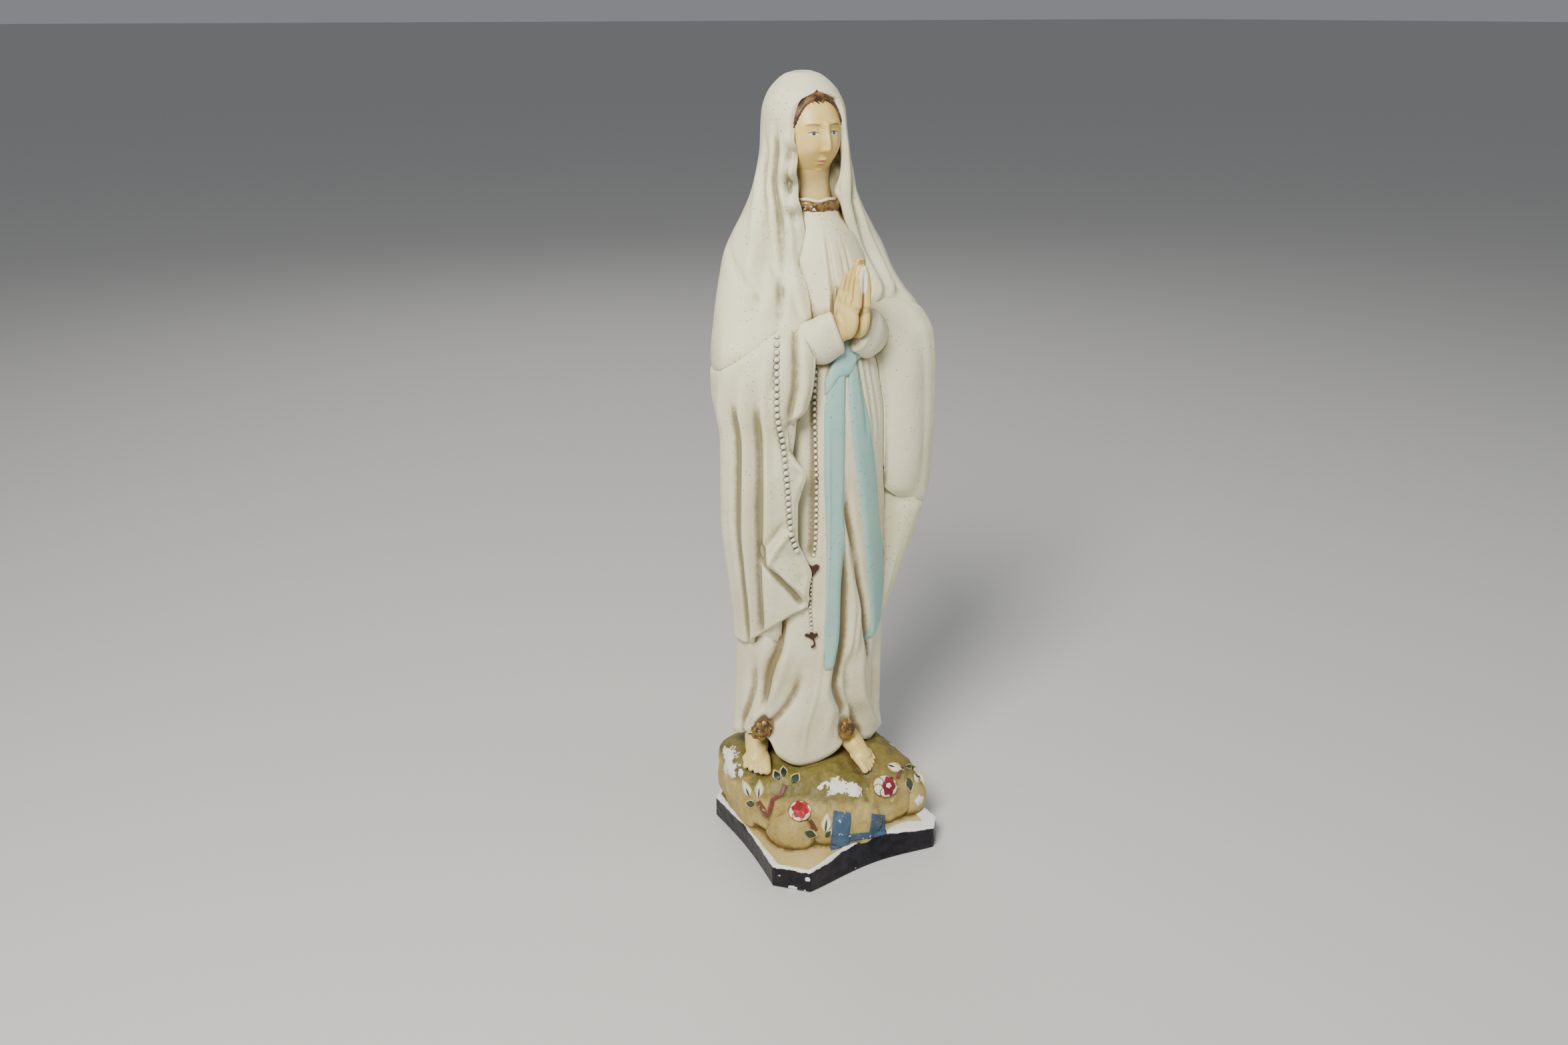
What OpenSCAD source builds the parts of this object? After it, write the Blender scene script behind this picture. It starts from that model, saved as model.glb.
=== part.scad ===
// Painted plaster statue: a veiled, barefoot standing figure with joined hands, on a rocky base.
// Frame: +Z up, the figure faces -Y, origin on the rest face under the middle of the plinth.

/* [Plinth] */
// Width of the plinth, left to right
plinth_w = 80; // [76:1:90]
// Depth of the plinth, front to back
plinth_d = 78; // [78:1:88]
// Height of the plinth's black band
plinth_h = 11; // [8:0.5:14]
// Length cut off each corner of the plinth, along a side
corner_cut = 11; // [8:0.5:14]
// How far each side of the plinth bows inwards at its middle
side_bow = 4; // [2:0.5:6]

/* [Rocks] */
// Height of the standing surface above the rest face
rock_top = 40; // [36:1:44]
// How far the boulders stand back from the plinth's edge
rock_setback = 5; // [4:0.5:8]

/* [Figure] */
// Height of the whole statue
total_h = 320; // [300:5:340]
// Half the width over the bent elbows
elbow_half_w = 47; // [46:0.5:50]
// Distance of the figure's axis behind the middle of the plinth
axis_y = 14; // [12:0.5:15]
// Thickness of the sash and of other low relief
relief_t = 1.2; // [0.8:0.1:1.6]

/* [Hidden] */

steps = 44;                        // corners of a lofted ring
fig_h = total_h - rock_top;        // height of the figure alone
waist_z = rock_top + 0.657 * fig_h;
hem_z = rock_top + 0.15 * fig_h;   // hem of the mantle
chin_z = rock_top + 0.885 * fig_h;
shoulder_z = rock_top + 0.79 * fig_h;
head_c = [0, axis_y + 3, rock_top + 0.924 * fig_h];
head_r = [10.5, 14, 14.5];
foot_angles = [-60, 30];           // directions of the right and left foot from straight ahead
skin = [0.86, 0.77, 0.55];
cloth = [0.88, 0.87, 0.80];
bronze = [0.42, 0.30, 0.12];
sash_blue = [0.50, 0.69, 0.64];
moss = [0.55, 0.52, 0.25];

// Rows of a lofted form: share of the figure's height, half width, depth in front, depth behind,
// and how far the form draws in over each foot.
gown_rows = [
    [0.000, 33.0, 23, 22.0, 8], [0.040, 31.5, 22, 21.5, 6], [0.090, 29.5, 23, 21.5, 2],
    [0.140, 28.5, 24, 21.0], [0.250, 27.0, 27, 20.5],
    [0.400, 26.5, 29, 20.0], [0.540, 27.0, 29, 19.0], [0.620, 25.0, 27, 19.0], [0.657, 22.5, 24, 18.0],
    [0.710, 25.0, 22, 19.0], [0.757, 25.5, 17, 19.5], [0.793, 18.0, 12, 17.0], [0.815, 9.5, 8, 12.0]];
mantle_rows = [
    [0.150, 31.5, 26, 24.0], [0.250, 34.0, 29, 24.5], [0.400, 36.5, 31, 24.5], [0.550, 38.5, 31, 24.0],
    [0.657, 39.5, 27, 23.5], [0.720, 37.5, 24, 23.5], [0.757, 34.0, 20, 23.5], [0.790, 28.5, 16, 23.0]];
hood_rows = [
    [0.790, 28.5, 16, 23.0], [0.820, 23.0, 13, 22.5], [0.857, 19.0, 11, 21.5], [0.893, 17.0, 10, 20.5],
    [0.930, 16.2, 9.5, 20.0], [0.965, 13.8, 7, 18.0], [0.985, 9.5, 3.5, 14.5], [1.000, 2.5, -1.5, 7.5]];

function mix(a, b, t) = a + (b - a) * t;
function near(a, centre) = pow(max(0, cos(a - centre)), 14);
function ring(row, grow) = [for (i = [0:steps - 1]) let (
    a = 360 * i / steps,
    inset = len(row) > 4 ? row[4] * (near(a, foot_angles[0]) + near(a, foot_angles[1])) : 0,
    d = cos(a) > 0 ? row[2] : row[3])
    [(row[1] + grow - inset) * sin(a), axis_y - (d + grow - inset) * cos(a), rock_top + row[0] * fig_h]];

// A closed solid through rings of points that all have the same count.
module loft(rings) {
    n = len(rings[0]);
    last = len(rings) - 1;
    polyhedron(
        points = [for (r = rings) each r],
        faces = concat(
            [[for (i = [0:n - 1]) i]],
            [for (k = [0:last - 1], i = [0:n - 1]) let (j = (i + 1) % n)
                [k * n + i, (k + 1) * n + i, (k + 1) * n + j, k * n + j]],
            [[for (i = [n - 1:-1:0]) last * n + i]]));
}

module body_form(rows, grow = 0) loft([for (r = rows) ring(r, grow)]);
module gown_form(grow = 0) body_form(gown_rows, grow);
module mantle_form(grow = 0) body_form(mantle_rows, grow);

// Keeps a sculpted form as one mesh.
module sculpted() resize([0, 0, 0]) children();

// A flat outline, drawn as seen from the front, pushed through the front half of the statue.
module front_cut(depth = 60) translate([0, axis_y, 0]) rotate([90, 0, 0]) linear_extrude(depth) children();

// The same for an outline seen from the statue's right, across its back-to-front line.
module side_cut(depth = 60) rotate([90, 0, -90]) linear_extrude(depth) children();

// The half of space on one side of the middle plane: side is 1 for the statue's left, -1 for its right.
module half(side) translate([side > 0 ? 0 : -60, -60, 0]) cube([60, 120, total_h + 10]);

module front_opening() front_cut() polygon([
    [-10, total_h], [-13, waist_z + 34], [-17, waist_z + 14], [-20, waist_z - 25], [-21, waist_z - 90],
    [-25, hem_z - 5], [23, hem_z - 5], [25, waist_z - 90], [23, waist_z - 25], [18, waist_z + 14],
    [13, waist_z + 34], [10, total_h]]);

module plinth_outline() {
    w = plinth_w / 2;
    d = plinth_d / 2;
    function bow_radius(len_) = (len_ * len_ / 4 + side_bow * side_bow) / (2 * side_bow);
    rx = bow_radius(plinth_w - 2 * corner_cut);
    ry = bow_radius(plinth_d - 2 * corner_cut);
    difference() {
        polygon([
            [-w + corner_cut, -d], [w - corner_cut, -d], [w, -d + corner_cut], [w, d - corner_cut],
            [w - corner_cut, d], [-w + corner_cut, d], [-w, d - corner_cut], [-w, -d + corner_cut]]);
        translate([0, -d - rx + side_bow]) circle(rx, $fn = 180);
        for (s = [-1, 1]) translate([s * (w + ry - side_bow), 0]) circle(ry, $fn = 180);
    }
}

module plinth() color([0.08, 0.07, 0.09]) linear_extrude(plinth_h) plinth_outline();

// A boulder: a flattened ball cut off at the plinth's top face.
module boulder(c, r, grow = 0) intersection() {
    translate(c) scale([r[0] + grow, r[1] + grow, r[2] + grow]) sphere(1, $fn = 26);
    translate([-60, -60, plinth_h]) cube(120);
}
left_at = [-23, 14, plinth_h + 6];
left_r = [13, 21, 18];
front_at = [-21, -13, plinth_h + 2];
front_r = [13, 13.5, 13];
right_at = [28, -14, plinth_h + 2];
right_r = [9.5, 11.5, 14];
module left_form(grow = 0) boulder(left_at, left_r, grow);
module front_form(grow = 0) boulder(front_at, front_r, grow);
module right_form(grow = 0) boulder(right_at, right_r, grow);

// The mound under the figure: half width, front depth and back depth at heights above the plinth.
module mound_form(grow = 0) {
    rise = rock_top - plinth_h;
    limit = plinth_w / 2 - rock_setback;
    rows = [
        [0, limit - 2, 22, limit - 3], [0.35, limit, 23, limit - 1], [0.7, limit, 26, limit - 1],
        [0.9, limit - 3, 24, limit - 3], [1, limit - 7, 19, limit - 7]];
    loft([for (r = rows) [for (i = [0:steps - 1]) let (
        a = 360 * i / steps,
        lump = 1 + 0.03 * cos(5 * a + 40) + 0.025 * cos(3 * a),
        d = cos(a) > 0 ? r[2] : r[3])
        [(r[1] * lump + grow) * sin(a), 2 - (d * lump + grow) * cos(a), plinth_h + rise * r[0]]]]);
}

module rock_mound() color(moss) sculpted() difference() {
    mound_form();
    left_form();
    front_form();
    right_form();
}
module rock_left_boulder() color(moss) sculpted() difference() {
    left_form();
    front_form();
    translate([-60, -60, rock_top]) cube(120);
}
module rock_front_boulder() color(moss) sculpted() front_form();
module rock_right_boulder() color(moss) sculpted() right_form();

// The spring: two runnels down the rock's front that join in a pool at the plinth's edge.
module spring() color([0.24, 0.38, 0.50]) sculpted() difference() {
    front = -plinth_d / 2 + side_bow + 2.5;
    union() {
        for (x = [-11, 12]) hull() {
            translate([x - 3, front, plinth_h]) cube([6, 4, 1.2]);
            translate([x - 3, -19, plinth_h]) cube([6, 1, 12]);
        }
        translate([-14, front, plinth_h]) cube([29, 4, 1.2]);
    }
    mound_form();
    front_form();
    right_form();
}

// A bare foot: heel under the hem, toes forward and down.
module foot(heel, toe) hull() {
    translate(heel) sphere(4.6, $fn = 20);
    translate(mix(heel, toe, 0.55)) sphere(4.2, $fn = 20);
    translate(toe + [2.2, 0, 0]) sphere(2.3, $fn = 20);
    translate(toe + [-2.2, 0, 0]) sphere(2.3, $fn = 20);
}
foot_right_at = [[-19, 10, rock_top + 3], [-32, -3, rock_top - 2]];
foot_left_at = [[11, 3, rock_top + 3], [15, -19, rock_top - 3]];
module seated_foot(at) color(skin) sculpted() difference() {
    foot(at[0], at[1]);
    gown_form();
    mound_form();
    left_form();
}
module foot_right() seated_foot(foot_right_at);
module foot_left() seated_foot(foot_left_at);

// A gilt rose on the instep.
module foot_rose(at) color(bronze) sculpted() difference() {
    translate(mix(at[0], at[1], 0.35) + [0, -1, 7]) scale([4.2, 3.6, 4.2]) sphere(1, $fn = 22);
    gown_form();
    foot(at[0], at[1]);
}
module foot_rose_right() foot_rose(foot_right_at);
module foot_rose_left() foot_rose(foot_left_at);

module gown_skirt() color(cloth) sculpted() intersection() {
    gown_form();
    translate([-60, -60, 0]) cube([120, 120, waist_z]);
}
module gown_bodice() color(cloth) sculpted() intersection() {
    gown_form();
    translate([-60, -60, waist_z]) cube([120, 120, 120]);
}

module mantle_back() color(cloth) sculpted() difference() {
    intersection() {
        mantle_form();
        translate([-60, axis_y, 0]) cube([120, 60, total_h]);
    }
    gown_form();
}
// The mantle's front panel on one side, open down the middle.
module mantle_side(side) color(cloth) sculpted() difference() {
    intersection() {
        mantle_form();
        half(side);
        translate([-60, axis_y - 60, 0]) cube([120, 60, total_h]);
    }
    front_opening();
    gown_form();
}
module mantle_right_side() mantle_side(-1);
module mantle_left_side() mantle_side(1);

// The mantle's fall over a forearm: share down from the elbow, centre x, centre y, radius x, radius y.
module drape_form(side, drop, grow = 0) {
    outer = elbow_half_w;
    rows = [
        [1.00, outer - 11, 5, 5, 7], [0.75, outer - 12, 4, 8, 11], [0.40, outer - 13, 2, 11, 13],
        [0.12, outer - 14, 1, 14, 14], [0.02, outer - 15, 3, 14, 13], [-0.12, outer - 20, 6, 11, 11]];
    loft([for (r = rows) [for (i = [0:23]) let (a = 15 * i)
        [side * (r[1] + (r[3] + grow) * side * sin(a)), r[2] - (r[4] + grow) * cos(a), waist_z - drop * r[0]]]]);
}
drop_right = 130;
drop_left = 72;
module drape(side, drop) color(cloth) sculpted() difference() {
    drape_form(side, drop);
    gown_form(relief_t + 0.3);
    mantle_side(side);
    mantle_back();
    translate([-20, -60, 0]) cube([40, 120, total_h]);
}
module drape_right() drape(-1, drop_right);
module drape_left() drape(1, drop_left);

// The gown's sleeve, from the crook of the arm to the cuff at the wrist.
module sleeve_form(side) hull() {
    translate([side * 30, -2, waist_z - 4]) sphere(10, $fn = 26);
    translate([side * 7, -15, waist_z + 5]) sphere(6, $fn = 26);
}
module sleeve(side, drop) color(cloth) sculpted() difference() {
    intersection() {
        sleeve_form(side);
        half(side);
    }
    translate([side * 3.4 - 3, -60, 0]) cube([6, 90, total_h]);
    gown_form();
    mantle_side(side);
    drape_form(side, drop);
}
module sleeve_right() sleeve(-1, drop_right);
module sleeve_left() sleeve(1, drop_left);

// One hand, palm against the middle plane, fingers up.
module hand_form(side) intersection() {
    union() {
        hull() {
            translate([side * 4.2, -15, waist_z + 4]) sphere(4, $fn = 22);
            translate([side * 2.8, -17, waist_z + 17]) scale([0.7, 1.2, 1]) sphere(4.2, $fn = 22);
        }
        hull() {
            translate([side * 2.8, -17, waist_z + 17]) scale([0.7, 1.2, 1]) sphere(4.1, $fn = 22);
            translate([side * 1.2, -19, waist_z + 33]) scale([0.7, 1.6, 1]) sphere(1.5, $fn = 22);
        }
    }
    half(side);
}
module hand(side, drop) color(skin) sculpted() difference() {
    hand_form(side);
    gown_form();
    sleeve(side, drop);
}
module hand_right() hand(-1, drop_right);
module hand_left() hand(1, drop_left);

// Low relief on the gown's front, with the outline that it is given.
module on_gown(t) sculpted() intersection() {
    difference() {
        gown_form(t);
        gown_form();
    }
    front_cut() children();
}

module sash_belt() color(sash_blue) sculpted() difference() {
    on_gown(relief_t) polygon([
        [-12, waist_z - 10], [-11, waist_z - 5], [-4, waist_z - 1], [3, waist_z - 1], [5, waist_z - 6], [3, waist_z - 10]]);
    for (s = [-1, 1]) sleeve_form(s);
}
tail_right_outline = [
    [-12, waist_z - 10], [-1, waist_z - 10], [-1, waist_z - 40], [-2, waist_z - 90], [-4, waist_z - 126],
    [-9, waist_z - 139], [-11, waist_z - 120], [-11, waist_z - 60]];
tail_left_outline = [
    [-0.5, waist_z - 10], [3, waist_z - 10], [9, waist_z - 40], [14, waist_z - 80], [17, waist_z - 105],
    [13, waist_z - 120], [8, waist_z - 80], [2, waist_z - 40]];
module sash_tail_right() color(sash_blue) on_gown(relief_t) polygon(tail_right_outline);
module sash_tail_left() color(sash_blue) on_gown(relief_t) polygon(tail_left_outline);

// The rosary, moulded as strings of beads in low relief.
module rosary_arm_strand() color(cloth) sculpted() intersection() {
    difference() {
        drape_form(-1, drop_right, relief_t);
        drape_form(-1, drop_right);
        sleeve_form(-1);
    }
    translate([0, -axis_y, 0]) front_cut() translate([-34, waist_z - 72]) square([1.8, 68]);
}
module rosary_skirt_strand() color(cloth) on_gown(relief_t) translate([-16, waist_z - 80]) square([1.8, 62]);
module rosary_medal() color(bronze) on_gown(relief_t + 0.2) translate([-15, waist_z - 84]) circle(2.4, $fn = 24);
module rosary_pendant() color(cloth) on_gown(relief_t) translate([-15.8, waist_z - 104]) square([1.6, 17]);
module rosary_crucifix() color(bronze) on_gown(relief_t + 0.2) {
    translate([-15.8, waist_z - 124]) square([1.6, 12]);
    translate([-18, waist_z - 117]) square([6, 1.6]);
}

neck_top = head_c[2] - 4;
module neck_form() translate([0, axis_y + 1.5, shoulder_z]) cylinder(neck_top - shoulder_z, r = 7, $fn = 40);
module head_form() translate(head_c) {
    scale(head_r) sphere(1, $fn = 36);
    face();
}
// Brow, nose, lips and chin, laid out on thirds of the face's height.
module face() {
    third = head_r[2] * 0.58;
    front = -head_r[1];
    hull() {
        translate([0, front + 1, third * 0.25]) sphere(0.8, $fn = 12);
        translate([0, front - 1.2, -third * 0.62]) sphere(1.1, $fn = 12);
        for (s = [-1, 1]) translate([s * 1.4, front + 1, -third * 0.68]) sphere(0.8, $fn = 12);
    }
    for (s = [-1, 1]) {
        translate([s * 3.9, front + 1.9, third * 0.14]) scale([1.9, 1, 0.9]) sphere(1, $fn = 16);
        translate([s * 3.9, front + 2.6, third * 0.5]) scale([2.8, 1.2, 0.8]) sphere(1, $fn = 16);
    }
    translate([0, front + 2.0, -third * 1.02]) scale([2.3, 1.2, 0.8]) sphere(1, $fn = 16);
    translate([0, front + 4.5, -third * 1.42]) scale([3, 2.4, 2]) sphere(1, $fn = 16);
}
module neck() color(skin) sculpted() difference() {
    neck_form();
    gown_form();
    head_form();
}
module head() color(skin) sculpted() head_form();

// The gilt neckband: a ring round the foot of the neck.
module collar() color(bronze) sculpted() difference() {
    translate([0, axis_y + 1.5, shoulder_z + 4]) cylinder(5.5, r1 = 10.2, r2 = 8.8, $fn = 40);
    neck_form();
    gown_form();
}

// A lock of hair between the brow and the veil.
module hair(side) color(bronze) sculpted() difference() {
    intersection() {
        translate(head_c) scale(head_r + [0.8, 0.8, 0.8]) sphere(1, $fn = 36);
        half(side);
        translate([-20, -20, head_c[2] + 4]) cube([40, 20 + head_c[1], 20]);
    }
    head_form();
    front_cut() translate([0, head_c[2] - 3.5]) scale([1, 1.3]) circle(9.5, $fn = 40);
}
module hair_right() hair(-1);
module hair_left() hair(1);

// The hood of the veil, open round the face and clear of the neck.
module veil_hood() color(cloth) sculpted() difference() {
    body_form(hood_rows);
    translate(head_c) scale(head_r + [1, 1, 1]) sphere(1, $fn = 36);
    front_cut() hull() {
        translate([0, head_c[2] - 1]) scale([1, 1.4]) circle(9.9, $fn = 40);
        translate([-10.5, shoulder_z - 1]) square([21, 1]);
    }
    translate([0, axis_y + 1.3, shoulder_z - 1]) cylinder(chin_z - shoulder_z + 4, r = 10.6, $fn = 40);
    gown_form();
}

// A five-petalled flower, as a flat outline.
module flower(r) for (a = [0:72:359]) rotate(a) translate([r * 0.55, 0]) circle(r * 0.5, $fn = 24);
module leaf(length, width, turn, at) translate(at) rotate(turn) {
    r = (length * length + width * width) / (4 * width);
    intersection() {
        translate([length / 2, r - width / 2]) circle(r, $fn = 90);
        translate([length / 2, width / 2 - r]) circle(r, $fn = 90);
    }
}

module rose_front() color([0.75, 0.16, 0.14]) sculpted() intersection() {
    difference() { front_form(relief_t); front_form(); mound_form(); }
    front_cut() translate([-20, plinth_h + 8]) flower(4.4);
}
module leaves_front() color([0.12, 0.20, 0.16]) sculpted() intersection() {
    difference() { front_form(relief_t); front_form(); mound_form(); rose_front(); spring(); }
    front_cut() {
        leaf(6, 3.4, -20, [-18, plinth_h + 4.5]);
    }
}
module rose_right() color([0.70, 0.10, 0.16]) sculpted() intersection() {
    difference() { mound_form(relief_t); mound_form(); right_form(relief_t); foot_left(); gown_skirt(); }
    front_cut() translate([17, plinth_h + 17]) flower(4.2);
}
module leaves_right() color([0.12, 0.20, 0.16]) sculpted() intersection() {
    difference() { right_form(relief_t); right_form(); mound_form(relief_t); }
    front_cut() {
        leaf(7, 3.2, -75, [28, plinth_h + 13.5]);
        leaf(6, 2.8, -30, [30, plinth_h + 13.5]);
    }
}
module leaves_left() color([0.80, 0.80, 0.74]) sculpted() intersection() {
    difference() { left_form(relief_t); left_form(); mound_form(); front_form(); foot_right(); gown_skirt(); }
    side_cut() {
        leaf(7, 3.2, 100, [-8, plinth_h + 9]);
        leaf(7, 3.2, 65, [-6, plinth_h + 9]);
        leaf(5, 2.8, 170, [-7, plinth_h + 6.5]);
    }
}
module briar_stem() color([0.32, 0.14, 0.12]) sculpted() intersection() {
    difference() { mound_form(relief_t); mound_form(); left_form(); front_form(relief_t); foot_right(); }
    front_cut() translate([-20, plinth_h + 9]) rotate(-28) square([1.8, 18]);
}

plinth();
rock_mound();
rock_left_boulder();
rock_front_boulder();
rock_right_boulder();
spring();
foot_right();
foot_left();
foot_rose_right();
foot_rose_left();
gown_skirt();
gown_bodice();
mantle_back();
mantle_right_side();
mantle_left_side();
drape_right();
drape_left();
sleeve_right();
sleeve_left();
hand_right();
hand_left();
sash_belt();
sash_tail_right();
sash_tail_left();
rosary_arm_strand();
rosary_skirt_strand();
rosary_medal();
rosary_pendant();
rosary_crucifix();
collar();
neck();
head();
hair_right();
hair_left();
veil_hood();
rose_front();
rose_right();
leaves_left();
leaves_front();
leaves_right();
briar_stem();
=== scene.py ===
import math
import random

import bmesh
import bpy
import numpy as np
from mathutils import Matrix, Vector, noise
from mathutils.bvhtree import BVHTree


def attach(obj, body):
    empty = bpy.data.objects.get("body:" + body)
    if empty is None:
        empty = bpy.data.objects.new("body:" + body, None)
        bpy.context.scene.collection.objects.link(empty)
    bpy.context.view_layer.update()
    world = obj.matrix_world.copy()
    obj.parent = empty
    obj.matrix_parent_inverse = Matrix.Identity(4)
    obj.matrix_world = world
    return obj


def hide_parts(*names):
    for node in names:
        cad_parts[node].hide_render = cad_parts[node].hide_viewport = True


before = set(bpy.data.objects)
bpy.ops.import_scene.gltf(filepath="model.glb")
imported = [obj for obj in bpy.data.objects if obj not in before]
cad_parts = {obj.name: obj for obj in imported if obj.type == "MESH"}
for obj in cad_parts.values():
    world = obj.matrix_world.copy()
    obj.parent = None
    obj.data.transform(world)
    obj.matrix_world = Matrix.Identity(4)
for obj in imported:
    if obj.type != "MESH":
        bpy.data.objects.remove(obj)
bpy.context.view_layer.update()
mm = 0.001
print("frame loaded")

# camera, floor and lights
viewSetup = {
    "place": (-0.2306, -0.3946, 0.340),
    "turn": (67.2, 0.0, -28.12),
    "lens": 28.0,
    "skyColour": (0.9, 0.93, 1.0, 1.0),
    "skyStrength": 0.26,
    "floorColour": (0.62, 0.61, 0.58, 1.0),
    "floorSize": 40.0,
}
lamps = {
    # place, the point it looks at, size, power, colour
    "keyLamp": ((-0.50, -0.40, 0.80), (0, 0, 0.20), 0.34, 13.0, (1.0, 0.97, 0.92)),
    "fillLamp": ((0.8, -0.7, 0.5), (0, 0, 0.15), 0.8, 2.6, (0.92, 0.96, 1.0)),
    "backLamp": ((0.2, 0.9, 0.9), (0, 0, 0.2), 0.7, 3.0, (1.0, 1.0, 1.0)),
}


def addCamera():
    data = bpy.data.cameras.new("camera")
    data.lens = viewSetup["lens"]
    data.sensor_width = 36.0
    data.clip_start = 0.01
    cam = bpy.data.objects.new("camera", data)
    cam.location = viewSetup["place"]
    cam.rotation_euler = [math.radians(v) for v in viewSetup["turn"]]
    bpy.context.scene.collection.objects.link(cam)
    bpy.context.scene.camera = cam


def addLamp(name, place, aim, size, power, colour):
    data = bpy.data.lights.new(name, "AREA")
    data.shape = "DISK"
    data.size = size
    data.energy = power
    data.color = colour
    lamp = bpy.data.objects.new(name, data)
    lamp.location = place
    lamp.rotation_euler = (Vector(aim) - Vector(place)).to_track_quat("-Z", "Y").to_euler()
    bpy.context.scene.collection.objects.link(lamp)


addCamera()
for lampName, row in lamps.items():
    addLamp(lampName, *row)
world = bpy.data.worlds.new("studio")
world.use_nodes = True
world.node_tree.nodes["Background"].inputs["Color"].default_value = viewSetup["skyColour"]
world.node_tree.nodes["Background"].inputs["Strength"].default_value = viewSetup["skyStrength"]
bpy.context.scene.world = world
print("camera and lamps placed")


# shader maths
class Wire:
    def __init__(self, tree, socket):
        self.tree = tree
        self.socket = socket

    def maths(self, operation, *values):
        return mathNode(self.tree, operation, *values)

    def __add__(self, other):
        return self.maths("ADD", self, other)

    def __radd__(self, other):
        return self.maths("ADD", other, self)

    def __sub__(self, other):
        return self.maths("SUBTRACT", self, other)

    def __rsub__(self, other):
        return self.maths("SUBTRACT", other, self)

    def __mul__(self, other):
        return self.maths("MULTIPLY", self, other)

    def __rmul__(self, other):
        return self.maths("MULTIPLY", other, self)

    def __truediv__(self, other):
        return self.maths("DIVIDE", self, other)

    def __pow__(self, other):
        return self.maths("POWER", self, other)

    def highest(self, other):
        return self.maths("MAXIMUM", self, other)

    def size(self):
        return self.maths("ABSOLUTE", self)


def plug(tree, socket, value):
    if isinstance(value, Wire):
        tree.links.new(value.socket, socket)
    elif value is not None:
        socket.default_value = value


def mathNode(tree, operation, *values):
    made = tree.nodes.new("ShaderNodeMath")
    made.operation = operation
    for socket, value in zip(made.inputs, values):
        plug(tree, socket, value)
    return Wire(tree, made.outputs[0])


class Paint:
    # one material: a principled shader and the nodes that feed it
    def __init__(self, name):
        self.material = bpy.data.materials.new(name)
        self.material.use_nodes = True
        self.tree = self.material.node_tree
        self.shader = self.tree.nodes["Principled BSDF"]

    def node(self, kind, settings, out=0, **values):
        made = self.tree.nodes.new(kind)
        for key, value in settings.items():
            setattr(made, key, value)
        # a socket goes by its name, or by its number as i0, i1 and so on
        for key, value in values.items():
            plug(self.tree, made.inputs[int(key[1:]) if key[1:].isdigit() else key], value)
        return Wire(self.tree, made.outputs[out])

    def place(self):
        return self.node("ShaderNodeTexCoord", {}, out="Object")

    def axes(self):
        where = self.place()
        return [self.node("ShaderNodeSeparateXYZ", {}, out=axis, Vector=where) for axis in "XYZ"]

    def attribute(self, name):
        return self.node("ShaderNodeAttribute", {"attribute_name": name}, out="Fac")

    def grain(self, scale, detail=3.0, rough=0.55, offset=(0, 0, 0)):
        where = self.node("ShaderNodeMapping", {}, Vector=self.place(), Location=offset)
        return self.node("ShaderNodeTexNoise", {}, Vector=where, Scale=scale, Detail=detail, Roughness=rough)

    def cells(self, scale):
        return self.node("ShaderNodeTexVoronoi", {}, Vector=self.place(), Scale=scale)

    def step(self, value, low, high):
        return self.node("ShaderNodeMapRange", {"interpolation_type": "SMOOTHSTEP", "clamp": True},
                         i0=value, i1=low, i2=high, i3=0.0, i4=1.0)

    def blend(self, amount, first, second):
        made = self.tree.nodes.new("ShaderNodeMix")
        made.data_type = "RGBA"
        plug(self.tree, made.inputs[0], amount)
        plug(self.tree, made.inputs[6], first)
        plug(self.tree, made.inputs[7], second)
        return Wire(self.tree, made.outputs[2])

    def finish(self, colour, rough=0.6, bump=None, bumpDepth=0.0002, coat=0.0, specular=0.5, metallic=0.0):
        plug(self.tree, self.shader.inputs["Base Color"], colour)
        plug(self.tree, self.shader.inputs["Roughness"], rough)
        plug(self.tree, self.shader.inputs["Metallic"], metallic)
        self.shader.inputs["Specular IOR Level"].default_value = specular
        self.shader.inputs["Coat Weight"].default_value = coat
        self.shader.inputs["Coat Roughness"].default_value = 0.3
        if bump is not None:
            raised = self.node("ShaderNodeBump", {}, Strength=1.0, Distance=bumpDepth, Height=bump)
            plug(self.tree, self.shader.inputs["Normal"], raised)
        return self.material


def rgb(r, g, b):
    return (r, g, b, 1.0)


# mesh helpers
def track(stops, x):
    # smooth curve through given stops (x, value)
    xs = np.array([s[0] for s in stops], float)
    ys = np.array([s[1] for s in stops], float)
    x = np.clip(np.asarray(x, float), xs[0], xs[-1])
    steps = np.diff(ys) / np.diff(xs)
    slope = np.zeros_like(ys)
    slope[0], slope[-1] = steps[0], steps[-1]
    for i in range(1, len(ys) - 1):
        slope[i] = 0.0 if steps[i - 1] * steps[i] <= 0 else 2 / (1 / steps[i - 1] + 1 / steps[i])
    i = np.clip(np.searchsorted(xs, x, side="right") - 1, 0, len(xs) - 2)
    gap = xs[i + 1] - xs[i]
    t = (x - xs[i]) / gap
    return ((2 * t ** 3 - 3 * t ** 2 + 1) * ys[i] + (t ** 3 - 2 * t ** 2 + t) * gap * slope[i]
            + (3 * t ** 2 - 2 * t ** 3) * ys[i + 1] + (t ** 3 - t ** 2) * gap * slope[i + 1])


def ease(x, low, high):
    t = np.clip((np.asarray(x, float) - low) / (high - low), 0, 1)
    return t * t * (3 - 2 * t)


def hump(x, centre, width):
    return np.exp(-((x - centre) / width) ** 2)


def newObject(name, bm, material, smooth=True):
    mesh = bpy.data.meshes.new(name)
    bm.to_mesh(mesh)
    bm.free()
    piece = bpy.data.objects.new(name, mesh)
    bpy.context.scene.collection.objects.link(piece)
    mesh.materials.append(material)
    if smooth:
        for face in mesh.polygons:
            face.use_smooth = True
    return piece


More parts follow.
